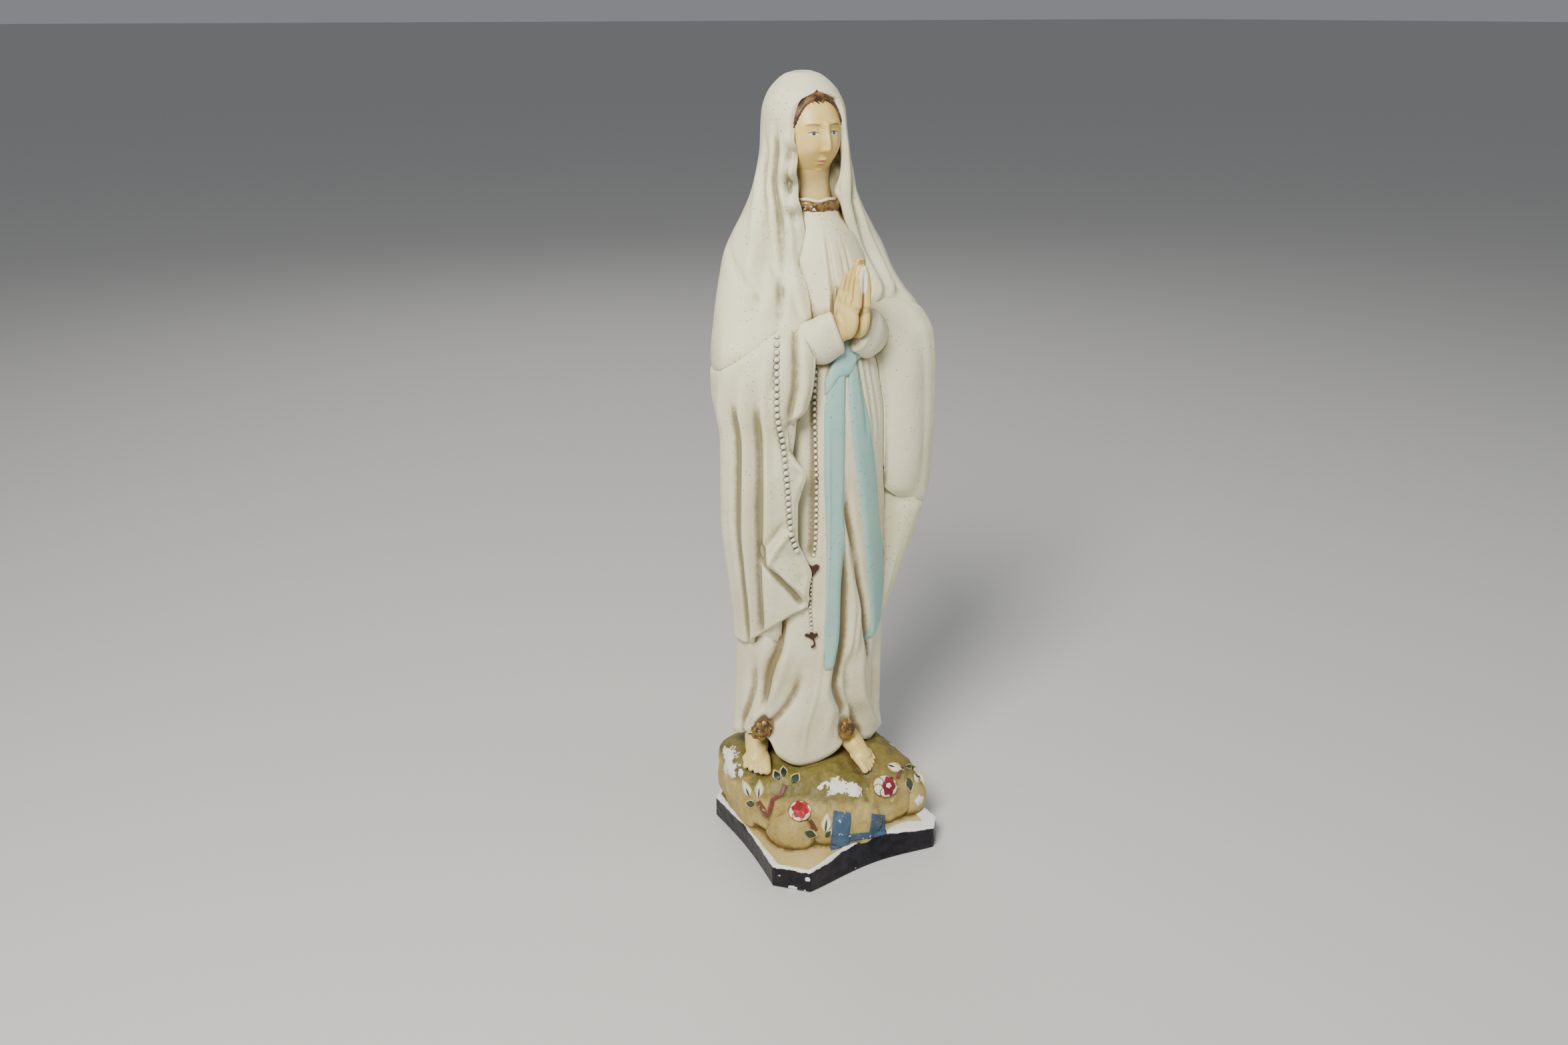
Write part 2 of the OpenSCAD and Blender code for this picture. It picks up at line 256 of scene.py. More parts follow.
def gridPiece(name, across, up, shape, material, closeRound=False):
    # a flat grid, whose vertices shape(u, v) moves into place; shape may also give how deep in a fold they lie
    bm = bmesh.new()
    bmesh.ops.create_grid(bm, x_segments=across, y_segments=up, size=0.5)
    flat = np.array([v.co[:2] for v in bm.verts])
    placed = shape(flat[:, 0] + 0.5, flat[:, 1] + 0.5)
    valley = None
    if isinstance(placed, tuple):
        placed, valley = placed
    layer = bm.verts.layers.float.new("valley")
    for i, vert in enumerate(bm.verts):
        vert.co = placed[i] * mm
        if valley is not None:
            vert[layer] = valley[i]
    if closeRound:
        bmesh.ops.remove_doubles(bm, verts=bm.verts, dist=0.00002)
    bmesh.ops.recalc_face_normals(bm, faces=bm.faces)
    return newObject(name, bm, material)


def faceOutward(piece, axisY):
    # turns an open sheet over if its faces look at the upright axis that stands at axisY millimetres
    bm = bmesh.new()
    bm.from_mesh(piece.data)
    score = 0.0
    for face in bm.faces:
        out = face.calc_center_median() - Vector((0, axisY * mm, face.calc_center_median().z))
        score += face.normal.dot(out) * face.calc_area()
    if score < 0:
        bmesh.ops.reverse_faces(bm, faces=bm.faces)
    bm.to_mesh(piece.data)
    bm.free()


def thicken(piece, thickness, offset=-1.0):
    made = piece.modifiers.new("wall", "SOLIDIFY")
    made.thickness = thickness * mm
    made.offset = offset
    made.use_even_offset = False


def joinVolumes(name, bm, voxel, rounds, material):
    # overlapping closed forms become one skin, then the skin is relaxed
    piece = newObject(name, bm, material)
    remesh = piece.modifiers.new("skin", "REMESH")
    remesh.mode = "VOXEL"
    remesh.voxel_size = voxel * mm
    bpy.context.view_layer.update()
    graph = bpy.context.evaluated_depsgraph_get()
    mesh = bpy.data.meshes.new_from_object(piece.evaluated_get(graph))
    piece.modifiers.clear()
    piece.data = mesh
    bm = bmesh.new()
    bm.from_mesh(mesh)
    for _ in range(rounds):
        bmesh.ops.smooth_vert(bm, verts=bm.verts, factor=0.5, use_axis_x=True, use_axis_y=True, use_axis_z=True)
    bm.to_mesh(mesh)
    bm.free()
    mesh.materials.clear()
    mesh.materials.append(material)
    for face in mesh.polygons:
        face.use_smooth = True
    return piece


def addBall(bm, centre, radii, turn=(0, 0, 0), rings=16):
    place = Matrix.Translation(Vector(centre) * mm)
    for axis, angle in zip("XYZ", turn):
        place = place @ Matrix.Rotation(math.radians(angle), 4, axis)
    place = place @ Matrix.Diagonal((*(r * mm for r in radii), 1.0))
    return bmesh.ops.create_uvsphere(bm, u_segments=rings * 2, v_segments=rings, radius=1.0,
                                     matrix=place)["verts"]


def addLimb(bm, points, rings=20):
    # a chain of tapered rounds: each point is (x, y, z, radius) in millimetres
    for (x1, y1, z1, r1), (x2, y2, z2, r2) in zip(points, points[1:]):
        first, second = Vector((x1, y1, z1)), Vector((x2, y2, z2))
        along = second - first
        turn = along.to_track_quat("Z", "Y").to_matrix().to_4x4()
        place = Matrix.Translation((first + second) / 2 * mm) @ turn
        bmesh.ops.create_cone(bm, cap_ends=True, segments=rings, radius1=r1 * mm, radius2=r2 * mm,
                              depth=along.length * mm, matrix=place)
    for x, y, z, r in points:
        addBall(bm, (x, y, z), (r, r, r), rings=max(8, rings // 2))


# body forms
# each row: height, half width on the figure's right and left, y of the widest point, front y, back y
outerForm = [
    (82, 33, 33, 10, -11, 37.5), (109, 35.5, 34.5, 6, -14, 37.5), (137, 40.3, 41.5, 2, -16, 37.5),
    (155, 43, 46, 0, -17, 37.5), (190, 44, 46.8, -1, -18, 37.5), (207, 46.8, 46.8, 0, -18, 38),
    (223, 46.4, 46.4, 1, -15, 38), (231, 44.1, 44.1, 5, -11, 37.5), (239, 40, 40, 13, -7, 37.5),
    (247, 36.5, 36.5, 18, -3.4, 37.5), (255, 33.8, 33.8, 20, 1.0, 37.5), (262, 29.8, 29.8, 21.5, 2, 37),
    (270, 24.6, 24.6, 21.5, 2.5, 37), (277, 21, 21, 21, 3, 37.2), (284, 18.8, 18.8, 20.5, 3, 37.5),
    (292, 16.8, 16.8, 20.5, 3, 38), (299, 16.2, 16.2, 21, 5, 38), (306, 15.8, 15.8, 21, 7, 37),
    (312, 13.6, 13.6, 21.5, 10, 35), (316, 10.2, 10.2, 22, 13.5, 32), (318.8, 6, 6, 22.5, 17, 28.5),
    (319.8, 2.2, 2.2, 22.5, 20.4, 24.6)]
gownForm = [
    (36, 36.5, 34.5, 14, -8.5, 37), (42, 36, 34, 14, -8.5, 36.5), (51, 34.2, 32.5, 14, -8.5, 36),
    (65, 33, 32, 14, -9.8, 35.5), (79, 32.2, 31.5, 14, -11.5, 35), (100, 32.6, 31.5, 12, -13.8, 35),
    (118, 31, 31.5, 13, -14.8, 34.5), (152, 27.5, 31.5, 14, -15.5, 34), (191, 27, 31, 14, -15.5, 33),
    (212, 25, 28, 14, -14, 33), (224, 20, 24, 14, -11.5, 32), (239, 17, 21, 14, -8.5, 32),
    (252, 15, 21, 14, -4.5, 32), (260, 13, 18, 14.5, -1.2, 31), (265, 11.8, 14.4, 15, 1.6, 29),
    (268.5, 11, 11.6, 15.4, 3.8, 27), (271, 10.2, 10.6, 15.6, 4.7, 25.6), (273.4, 9.6, 9.8, 15.6, 5.4, 25),
    (274.6, 8.4, 8.4, 15.6, 6.8, 24.4)]


def onForm(form, a, z, out=0.0):
    # a in degrees, 0 straight ahead, positive to the figure's left; out is the offset outwards
    z = np.asarray(z, float)
    a = np.radians(np.asarray(a, float))
    right, left, mid, front, back = [track([(row[0], row[k]) for row in form], z) for k in range(1, 6)]
    half = np.where(np.sin(a) > 0, left, right) + out
    depth = np.where(np.cos(a) > 0, mid - front, back - mid) + out
    return np.stack([half * np.sin(a), mid - depth * np.cos(a), z + 0 * a], axis=-1)


def foldLift(folds, a, z):
    # each fold: its line as (z, angle) stops, half width in degrees, lift in mm, and the heights it fades over
    lift = np.zeros_like(np.asarray(a, float))
    for line, width, height, (low, lowFull, highFull, high) in folds:
        line = sorted(line)
        gap = np.asarray(a) - track(line, z)
        fade = ease(z, low, lowFull) * (1 - ease(z, highFull, high))
        lift += height * fade * np.exp(-(gap / width) ** 2)
    return lift


def valleyDepth(folds, a, z):
    # 0 on the flat and on ridges, 1 in a valley of 2.4 mm or more, where the painted shade and grime are
    # darkest
    return np.clip(-foldLift(folds, a, z) / 2.4, 0, 1)


# finishes
barePlaster = (0.86, 0.85, 0.80)


def chalkPaint(name, base, warm, shadeAndGrimeColour, amount=1.0, shine=0.62):
    p = Paint(name)
    shadeAndGrime = p.attribute("shadeAndGrime")
    broad = p.grain(38.0, 4.0, 0.6)
    fine = p.grain(420.0, 3.0, 0.6)
    colour = p.blend(p.step(broad, 0.42, 0.68), base, warm)
    # darker in the hollows and folds: painted shade from the occlusion, together with grime
    shadeAndDirt = p.step(shadeAndGrime + (fine - 0.5) * 0.35 + (broad - 0.5) * 0.5, 0.25, 0.95)
    colour = p.blend(shadeAndDirt * (0.75 * amount), colour, shadeAndGrimeColour)
    specks = 1 - p.step(p.cells(480.0), 0.09, 0.17)
    sparse = p.step(p.grain(95.0, 2.0, 0.5, offset=(3, 1, 2)), 0.43, 0.58)
    colour = p.blend(specks * sparse * 0.75, colour, rgb(0.16, 0.13, 0.09))
    return p.finish(colour, shine - 0.12 * fine, fine + 0.6 * p.grain(1500.0, 2.0, 0.5), 0.00012, specular=0.35)


veilPaint = chalkPaint("veilPaint", rgb(0.80, 0.77, 0.53), rgb(0.735, 0.695, 0.435), rgb(0.25, 0.225, 0.12),
                       1.3)
gownPaint = chalkPaint("gownPaint", rgb(0.79, 0.745, 0.51), rgb(0.72, 0.665, 0.41), rgb(0.25, 0.19, 0.085),
                       1.25)
sashPaint = chalkPaint("sashPaint", rgb(0.30, 0.545, 0.47), rgb(0.355, 0.575, 0.475), rgb(0.17, 0.27, 0.23),
                       0.9, 0.5)


def makeSkinPaint():
    p = Paint("skinPaint")
    shadeAndGrime = p.attribute("shadeAndGrime")
    fine = p.grain(300.0, 3.0)
    colour = p.blend(p.step(p.grain(70.0, 3.0), 0.4, 0.7), rgb(0.77, 0.60, 0.21), rgb(0.69, 0.50, 0.13))
    # darker in the recesses: painted shade from the occlusion, together with grime
    colour = p.blend(p.step(shadeAndGrime + (fine - 0.5) * 0.3, 0.25, 1.0) * 0.75, colour, rgb(0.42, 0.27, 0.10))
    return p.finish(colour, 0.42, fine, 0.00006, coat=0.12, specular=0.45)


def makeGiltPaint():
    p = Paint("giltPaint")
    worn = p.grain(330.0, 4.0, 0.65)
    colour = p.blend(p.step(worn, 0.42, 0.6), rgb(0.07, 0.030, 0.012), rgb(0.30, 0.175, 0.04))
    colour = p.blend(p.step(p.grain(520.0, 3.0, offset=(2, 5, 1)), 0.62, 0.68), colour, rgb(0.75, 0.70, 0.56))
    return p.finish(colour, 0.45, worn, 0.00025, metallic=p.step(worn, 0.42, 0.6) * 0.45)


def makeRockPaint():
    p = Paint("rockPaint")
    shadeAndGrime = p.attribute("shadeAndGrime")
    wash = p.attribute("wash")
    worn = p.attribute("worn")
    fine = p.grain(260.0, 4.0, 0.6)
    broad = p.grain(60.0, 4.0, 0.6)
    colour = p.blend(p.step(broad, 0.35, 0.7), rgb(0.40, 0.285, 0.065), rgb(0.57, 0.455, 0.165))
    green = p.step(wash + (broad - 0.5) * 1.3 + (fine - 0.5) * 0.5, 0.35, 0.75)
    mossy = p.grain(85.0, 4.0, 0.65, offset=(5, 2, 7))
    moss = p.blend(p.step(mossy, 0.38, 0.66), rgb(0.088, 0.080, 0.012), rgb(0.205, 0.175, 0.036))
    colour = p.blend(green * 0.93, colour, moss)
    patches = p.step(p.grain(33.0, 4.0, 0.6, offset=(9, 4, 2)), 0.46, 0.7)
    colour = p.blend(patches * 0.5, colour, rgb(0.27, 0.19, 0.05))
    specks = p.step(p.grain(340.0, 3.0, 0.7, offset=(1, 7, 3)), 0.50, 0.72)
    colour = p.blend(specks * 0.4, colour, rgb(0.20, 0.14, 0.04))
    # dark in the crevices between the boulders: painted shade from the occlusion, together with grime
    colour = p.blend(p.step(shadeAndGrime + (fine - 0.5) * 0.4, 0.18, 0.75) * 0.92, colour, rgb(0.11, 0.072, 0.018))
    bare = p.step(worn + (p.grain(170.0, 5.0, 0.7) - 0.5) * 1.6, 0.52, 0.60)
    colour = p.blend(bare, colour, rgb(*barePlaster))
    return p.finish(colour, 0.5 + 0.25 * bare, fine + 0.7 * broad - bare * 0.25, 0.0007, specular=0.4)


def makePlinthPaint():
    p = Paint("plinthPaint")
    z = p.axes()[2]
    edge = p.attribute("edge")
    fine = p.grain(300.0, 4.0, 0.65)
    rough = p.grain(120.0, 5.0, 0.7, offset=(1, 2, 3))
    cream = p.blend(p.step(p.grain(50.0, 3.0), 0.35, 0.7), rgb(0.50, 0.36, 0.115), rgb(0.62, 0.50, 0.235))
    # the ledge darkens where the rocks and the figure close over it: painted shade, together with grime
    shadeAndDirt = p.step(p.attribute("shadeAndGrime") + (fine - 0.5) * 0.4, 0.3, 0.95)
    cream = p.blend(shadeAndDirt * 0.85, cream, rgb(0.16, 0.09, 0.02))
    white = rgb(*barePlaster)
    black = p.blend(p.step(fine, 0.35, 0.7), rgb(0.005, 0.0045, 0.007), rgb(0.016, 0.014, 0.019))
    # the black stops short of the ledge on a ragged line, and bare plaster shows along the edge
    line = z * 1000.0 + (rough - 0.5) * 2.6 + (fine - 0.5) * 0.8
    isBlack = 1 - p.step(line, 9.7, 10.1)
    nearEdge = p.step(edge + (rough - 0.5) * 1.2, 0.45, 0.55)
    top = p.blend(nearEdge, cream, white)
    chip = p.step(p.attribute("chip") + (p.grain(220.0, 4.0, 0.6, offset=(4, 4, 1)) - 0.5) * 0.9, 0.55, 0.60)
    side = p.blend(chip, black, white)
    return p.finish(p.blend(isBlack, top, side), 0.35 + 0.3 * (1 - isBlack), fine * 0.6 - chip * 0.5 * isBlack,
                    0.0003, specular=0.3)


skinPaint = makeSkinPaint()
giltPaint = makeGiltPaint()
rockPaint = makeRockPaint()
plinthPaint = makePlinthPaint()


def flatPaint(name, first, second, shine=0.5, chipTo=None, chipLow=0.62):
    p = Paint(name)
    fine = p.grain(350.0, 3.0)
    colour = p.blend(p.step(p.grain(140.0, 3.0), 0.35, 0.65), first, second)
    if chipTo:
        colour = p.blend(p.step(p.grain(420.0, 4.0, 0.6, offset=(3, 3, 3)), chipLow, chipLow + 0.04), colour,
                         chipTo)
    return p.finish(colour, shine, fine, 0.0001)


bluePaint = flatPaint("bluePaint", rgb(0.030, 0.068, 0.125), rgb(0.050, 0.10, 0.165), 0.5,
                      rgb(0.8, 0.79, 0.74), 0.66)
redPaint = flatPaint("redPaint", rgb(0.30, 0.006, 0.010), rgb(0.40, 0.018, 0.016))
crimsonPaint = flatPaint("crimsonPaint", rgb(0.15, 0.002, 0.012), rgb(0.23, 0.004, 0.02))
petalPaint = flatPaint("petalPaint", rgb(0.80, 0.77, 0.62), rgb(0.70, 0.64, 0.46))
leafPaint = flatPaint("leafPaint", rgb(0.018, 0.034, 0.024), rgb(0.035, 0.062, 0.04), 0.45, rgb(0.6, 0.6, 0.5),
                      0.68)
stemPaint = flatPaint("stemPaint", rgb(0.10, 0.020, 0.014), rgb(0.18, 0.045, 0.025))
linePaint = flatPaint("linePaint", rgb(0.02, 0.02, 0.018), rgb(0.05, 0.045, 0.035))
brownPaint = flatPaint("brownPaint", rgb(0.028, 0.008, 0.004), rgb(0.075, 0.022, 0.008), 0.45)
creamPaint = flatPaint("creamPaint", rgb(0.64, 0.55, 0.30), rgb(0.52, 0.42, 0.18))
ochreLinePaint = flatPaint("ochreLinePaint", rgb(0.17, 0.12, 0.04), rgb(0.28, 0.21, 0.08))


def claim(piece, slotName, *nodes):
    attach(piece, "root")
    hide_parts(*nodes)


print("finishes mixed")

# gown
gown = {
    "axis": 14,                   # y of the upright axis that the sheet is wound round
    "top": 274.4,
    "footAngles": (-67, 22),      # where the hem draws back over each foot
    "footInset": 3.0,
    "hem": [(-180, 40), (-130, 43), (-98, 48.5), (-80, 51.5), (-66, 52.5), (-55, 51), (-44, 44.5), (-30, 40.5),
            (-18, 39), (-6, 40.5), (8, 43.5), (18, 47.5), (26, 47), (36, 41), (50, 38.5), (66, 39.5), (90, 40),
            (180, 40)],
    "folds": [
        # line of the fold, half width in degrees, lift in millimetres, heights where it fades
        ([(40, -92), (55, -92), (60, -87), (66, -81), (76, -76), (96, -74)], 6, -2.6, (36, 44, 78, 96)),
        ([(63, -62), (70, -60), (79, -60), (88, -57), (100, -50), (114, -50)], 5.5, -3.4, (50, 62, 104, 122)),
        ([(46, -70), (61, -66), (66, -60), (75, -53), (84, -47), (100, -42)], 5, 2.3, (44, 56, 86, 108)),
        ([(60, -54), (65, -46), (71, -39), (79, -33), (90, -30)], 4.5, -2.3, (50, 58, 76, 96)),
        ([(40, -28), (52, -30), (64, -28), (80, -22)], 8, 1.5, (34, 42, 56, 84)),
        ([(50, -23), (60, -22), (66, -20), (76, -17), (85, -16), (110, -15), (150, -16), (200, -18)], 1.6, 0.5,
         (42, 52, 180, 204)),
        ([(64, 8), (71, 2), (79, -2), (88, -1), (105, 2), (121, 1), (150, 0)], 4.2, -2.9, (52, 66, 122, 158)),
        ([(50, -6), (64, -4), (74, -9), (90, -8), (110, -6)], 4, 1.2, (44, 60, 90, 116)),
        ([(44, 33), (51, 26), (61, 19), (72, 11), (86, 8), (100, 9)], 4.2, -1.8, (40, 48, 80, 98)),
        ([(80, 38), (96, 28), (114, 20), (127, 13), (143, 8), (158, 1), (176, -1)], 3.4, -2.8,
         (74, 92, 150, 176)),
        ([(60, 50), (80, 46), (100, 42)], 5, -1.4, (50, 64, 84, 100)),
        ([(92, 7), (112, 9), (128, 5), (144, 1), (160, -2)], 3.0, 1.3, (86, 96, 142, 164)),
        ([(92, 14), (110, 15), (127, 11), (142, 9), (165, 4)], 2.4, 1.1, (86, 98, 132, 160)),
        ([(44, 52), (55, 40), (68, 27), (83, 22), (96, 20)], 5, 1.7, (40, 48, 84, 100)),
        ([(40, 64), (70, 58), (110, 50)], 7, 1.8, (32, 42, 70, 120)),
        ([(40, 84), (110, 70)], 8, -2.2, (30, 45, 90, 130)),
        ([(40, 104), (110, 92)], 9, 1.8, (30, 45, 90, 130)),
        ([(40, 128), (130, 118)], 9, -2.0, (30, 45, 90, 130)),
        ([(40, -112), (110, -104)], 9, 1.4, (30, 45, 80, 110)),
        ([(40, -134), (110, -126)], 8, -1.8, (30, 45, 80, 110)),
        # the sunk channel that holds the beads of the skirt strand
        ([(141, -29), (170, -29), (210, -30)], 4.2, -1.5, (139, 143, 200, 216)),
        # bodice gathers
        ([(228, 12), (262, 8)], 2.2, -0.7, (226, 236, 250, 264)),
        ([(228, -2), (250, -4), (268, -6)], 2.0, -0.5, (226, 236, 256, 268)),
        ([(228, -10), (262, -9)], 2.2, -0.7, (230, 240, 256, 266)),
        ([(228, -17), (262, -15)], 2.0, 0.5, (230, 240, 256, 266)),
        ([(228, 19), (262, 17)], 2.4, -0.8, (226, 236, 252, 264)),
        ([(190, 16), (222, 10)], 2.4, -0.8, (185, 195, 216, 224)),
        ([(190, 26), (222, 18)], 2.4, -0.9, (180, 195, 216, 224)),
        ([(186, 34), (222, 25)], 2.4, -0.8, (180, 195, 216, 224)),
    ],
}


def gownPoint(a, z, out=0.0):
    feet = hump(a, gown["footAngles"][0], 14) + hump(a, gown["footAngles"][1], 10)
    inset = gown["footInset"] * feet * (1 - ease(z, 46, 66))
    lift = foldLift(gown["folds"], a, z)
    lift = lift + 0.8 * np.cos(np.radians(a * 9)) * ease(np.abs(a), 130, 150) * (1 - ease(z, 90, 140))
    return onForm(gownForm, a, z, lift - inset + out)


def gownShape(u, v):
    a = -180 + 360 * u
    low = track(gown["hem"], a)
    z = low + (gown["top"] - low) * v
    points = gownPoint(a, z)
    # a turned-under lip at the hem
    points[:, :2] += (np.array([0, gown["axis"]]) - points[:, :2]) * (0.045 * hump(v, 0, 0.006))[:, None]
    return points, valleyDepth(gown["folds"], a, z)


gownPiece = gridPiece("gown", 300, 330, gownShape, gownPaint, closeRound=True)
faceOutward(gownPiece, gown["axis"])
print("gown draped")

# mantle and veil
# the back's folds, which come in pairs: one on each side of the middle
backFolds = [([(z, side * a) for z, a in line], width, lift, fade) for line, width, lift, fade in [
    ([(90, 180), (240, 180), (280, 180)], 9, -2.2, (60, 90, 230, 280)),
    ([(90, 150), (240, 158), (270, 162)], 7, 1.8, (60, 90, 220, 272)),
    ([(90, 132), (220, 140), (260, 150)], 6, -2.0, (60, 90, 200, 262)),
    ([(90, 114), (220, 122), (250, 132)], 6, 1.5, (60, 90, 190, 250)),
] for side in (1, -1)]
mantle = {
    "wall": 2.2,
    "axis": 16,
    "top": 319.6,
    "hem": 88,
    "drapeTop": [(-132, 219), (-110, 219), (-82, 222), (-63, 226), (-50, 230), (-42, 233), (-34, 235),
                 (-18, 234), (20, 236), (45, 238), (60, 238), (80, 236), (100, 230), (134, 224)],
    "edgeRight": [(84, -52), (120, -46), (150, -42), (200, -30), (234, -17), (239, -17), (251, -19), (259, -17),
                  (273, -27), (276, -31), (281, -36), (288, -39), (292, -43), (297, -44), (304, -42),
                  (308, -37), (312, -22), (314, -4)],
    "edgeLeft": [(92, 42), (105, 42), (121, 41), (150, 39), (200, 37), (235, 31), (248, 31), (257, 28),
                 (272, 24), (276, 24), (281, 30), (286, 36), (292, 41), (299, 42), (307, 40), (311, 34),
                 (313, 22), (314, 6)],
    "folds": [
        # veil, figure's right
        ([(240, -34), (254, -32), (262, -37), (273, -50), (283, -66), (294, -70), (303, -70)], 5, -1.9,
         (236, 246, 292, 306)),
        ([(240, -30), (254, -26), (262, -28), (273, -40), (283, -54), (294, -58)], 4.5, 1.3,
         (236, 246, 286, 300)),
        ([(252, -22), (262, -24), (272, -36), (282, -46), (292, -52)], 3.2, -1.2, (246, 256, 284, 296)),
        ([(240, -50), (257, -47), (270, -62), (283, -84), (300, -92)], 6, -1.7, (236, 244, 285, 302)),
        ([(242, -60), (257, -58), (270, -74), (283, -98)], 6, 1.0, (236, 246, 276, 296)),
        ([(236, -40), (245, -59), (254, -78), (262, -100)], 6.5, -1.2, (232, 238, 250, 266)),
        ([(234, -36), (242, -36), (252, -40), (262, -44)], 3.2, -1.4, (230, 236, 250, 264)),
        ([(234, -44), (242, -48), (252, -56)], 4, 1.1, (230, 238, 246, 258)),
        ([(234, -23), (243, -27), (257, -28)], 2.4, -0.9, (230, 236, 250, 260)),
        # veil, figure's left
        ([(238, 44), (248, 40), (258, 36), (272, 38), (284, 52), (296, 60)], 4.2, -1.6, (234, 242, 280, 298)),
        ([(238, 50), (250, 47), (262, 43), (276, 50)], 3.6, 1.0, (234, 242, 264, 284)),
        ([(238, 58), (250, 54), (262, 52), (276, 64)], 4.5, -1.3, (234, 242, 264, 282)),
        ([(278, 29), (290, 36)], 4, -1.4, (272, 278, 288, 296)),
        *backFolds,
        # lower left panel
        ([(92, 62), (150, 62)], 6, -1.5, (80, 96, 140, 160)),
        ([(92, 80), (150, 78)], 7, 1.4, (80, 96, 140, 160)),
        ([(92, 98), (150, 96)], 7, -1.5, (80, 96, 140, 170)),
    ],
}


def mantlePoint(a, z, out=0.0):
    lift = foldLift(mantle["folds"], a, z)
    # the sheet runs under both drapes, and its sides sink towards the gown near the bottom
    front = ease(-np.abs(a), -134, -116)
    top = track(mantle["drapeTop"], a)
    tuck = -2.6 * front * (1 - ease(z, top - 8, top - 1))
    leftLow = ease(a, 20, 30) * (1 - ease(z, 149, 154))
    tuck = tuck * (1 - leftLow)
    sinkRight = -6.0 * (1 - ease(z, 92, 106)) * ease(-a, -20, 10) * (1 - ease(-a, 100, 140))
    sinkLeft = 4.5 * (1 - ease(z, 94, 116)) * ease(a, 10, 30) * (1 - ease(a, 90, 120))
    points = onForm(outerForm, a, z, lift + tuck + (sinkRight - sinkLeft) + out)
    # low on the figure's left the front of the sheet leans back onto the gown
    lean = (1 - ease(a, 34, 66)) * ease(a, 0, 20) * (1 - ease(z, 232, 244))
    onGown = onForm(gownForm, np.clip(a, 0, 90) + 12, z, 0.8 + out)
    return points + (onGown - points) * lean[:, None]


def mantleShape(u, v):
    side = 2 * u - 1                                    # -1 right edge, 1 left edge
    low = mantle["hem"] + 3 * ease(np.abs(side), 0.5, 1.0) + 1.6 * np.sin(side * 17) * ease(side, -0.3, 0.1)
    low = low + 8 * ease(side, 0.55, 1.0)
    z = low + (mantle["top"] - low) * v
    edgeR = track(mantle["edgeRight"], z)
    edgeL = track(mantle["edgeLeft"], z)
    # above the brow the hood closes over
    closing = ease(z, 310.5, 314.5)
    edgeR = edgeR * (1 - closing)
    edgeL = edgeL * (1 - closing)
    # right half runs from its edge back to -180, left half from 180 to its edge
    a = np.where(u < 0.5, edgeR + (-180 - edgeR) * (u * 2), 180 + (edgeL - 180) * (u * 2 - 1))
    ruffle = 2.5 * np.sin(z * 0.55 + 1.2) * ease(z, 264, 274) * (1 - ease(z, 292, 302)) * hump(u, 0.014, 0.04)
    points = mantlePoint(a, z, ruffle)
    # the free edge rolls in towards the body
    rim = hump(u, 0.0, 0.010) + hump(u, 1.0, 0.010)
    inward = np.stack([0 * z, mantle["axis"] + 0 * z, z], axis=-1) - points
    inward /= np.linalg.norm(inward, axis=1)[:, None]
    roll = rim * 1.8 * (1 - ease(z, 305, 312))
    # the fold valleys and the ruffle's dips get painted shade
    valley = valleyDepth(mantle["folds"], a, z) + 0.5 * np.clip(-ruffle, 0, 1)
    return points + inward * roll[:, None], valley


mantlePiece = gridPiece("mantle", 300, 230, mantleShape, veilPaint, closeRound=True)
faceOutward(mantlePiece, mantle["axis"])
thicken(mantlePiece, mantle["wall"])
print("mantle and veil draped")

# drapes over the forearms
drapeRight = {
    "wall": 2.0,
    "start": -134.0,      # angle of its far side, under the mantle
    "hem": 98,
    "top": [(-132, 219), (-110, 219), (-82, 222), (-63, 226), (-50, 230), (-42, 233), (-34, 235), (-24, 235),
            (-18, 234)],
    "edge": [(98, -82), (103, -72), (107, -61), (112, -47), (117, -33), (119, -25), (126, -24), (134, -22),
             (140, -25), (150, -30), (164, -30), (170, -28), (177, -25), (183, -32), (188, -36), (196, -36),
             (203, -24), (209, -21), (220, -18), (226, -17), (235, -19)],
    "folds": [
        ([(90, -86), (155, -79), (190, -75), (214, -70)], 5.5, -2.6, (80, 100, 196, 218)),
        ([(90, -72), (155, -67), (203, -64), (218, -58)], 5, 1.2, (80, 100, 200, 222)),
        ([(100, -66), (133, -62), (156, -57), (191, -56), (216, -50)], 4.5, -2.4, (90, 112, 196, 222)),
        ([(120, -50), (160, -49), (200, -48), (226, -42)], 4, 1.0, (110, 130, 205, 230)),
        ([(90, -104), (190, -94), (214, -86)], 6, 1.4, (80, 100, 196, 218)),
        ([(90, -120), (190, -112)], 6, -1.6, (80, 100, 196, 216)),
        ([(196, -36), (212, -30), (226, -28), (234, -26)], 2.4, -1.9, (188, 196, 228, 238)),
        ([(200, -28), (215, -24), (234, -23)], 3.2, 1.4, (192, 204, 228, 238)),
        ([(180, -46), (205, -45), (228, -36)], 3.0, -0.9, (172, 184, 218, 232)),
        # the hem turned back near the bottom, like a kite
        ([(121, -30), (126, -35), (132, -43), (142, -55), (150, -58)], 3.0, -2.4, (118, 123, 142, 152)),
        ([(120, -21), (126, -27), (132, -36), (142, -48)], 2.6, 1.6, (116, 121, 139, 146)),
        ([(140, -50), (147, -43), (153, -36), (157, -33)], 2.6, 1.3, (137, 141, 153, 158)),
        ([(146, -54), (152, -46), (158, -39)], 3.0, -1.2, (142, 146, 154, 162)),
        ([(134, -29), (146, -36)], 5, -1.5, (126, 133, 142, 150)),
        ([(177, -30), (187, -38), (196, -42)], 3, -1.4, (172, 178, 190, 200)),
    ],
}


def drapeRightPoint(a, z, out=0.0):
    top = track(drapeRight["top"], a)
    curl = ease(z - top, -7, 0) ** 2
    lift = foldLift(drapeRight["folds"], a, z)
    return onForm(outerForm, a, z, lift + 0.6 - 3.4 * curl + out)


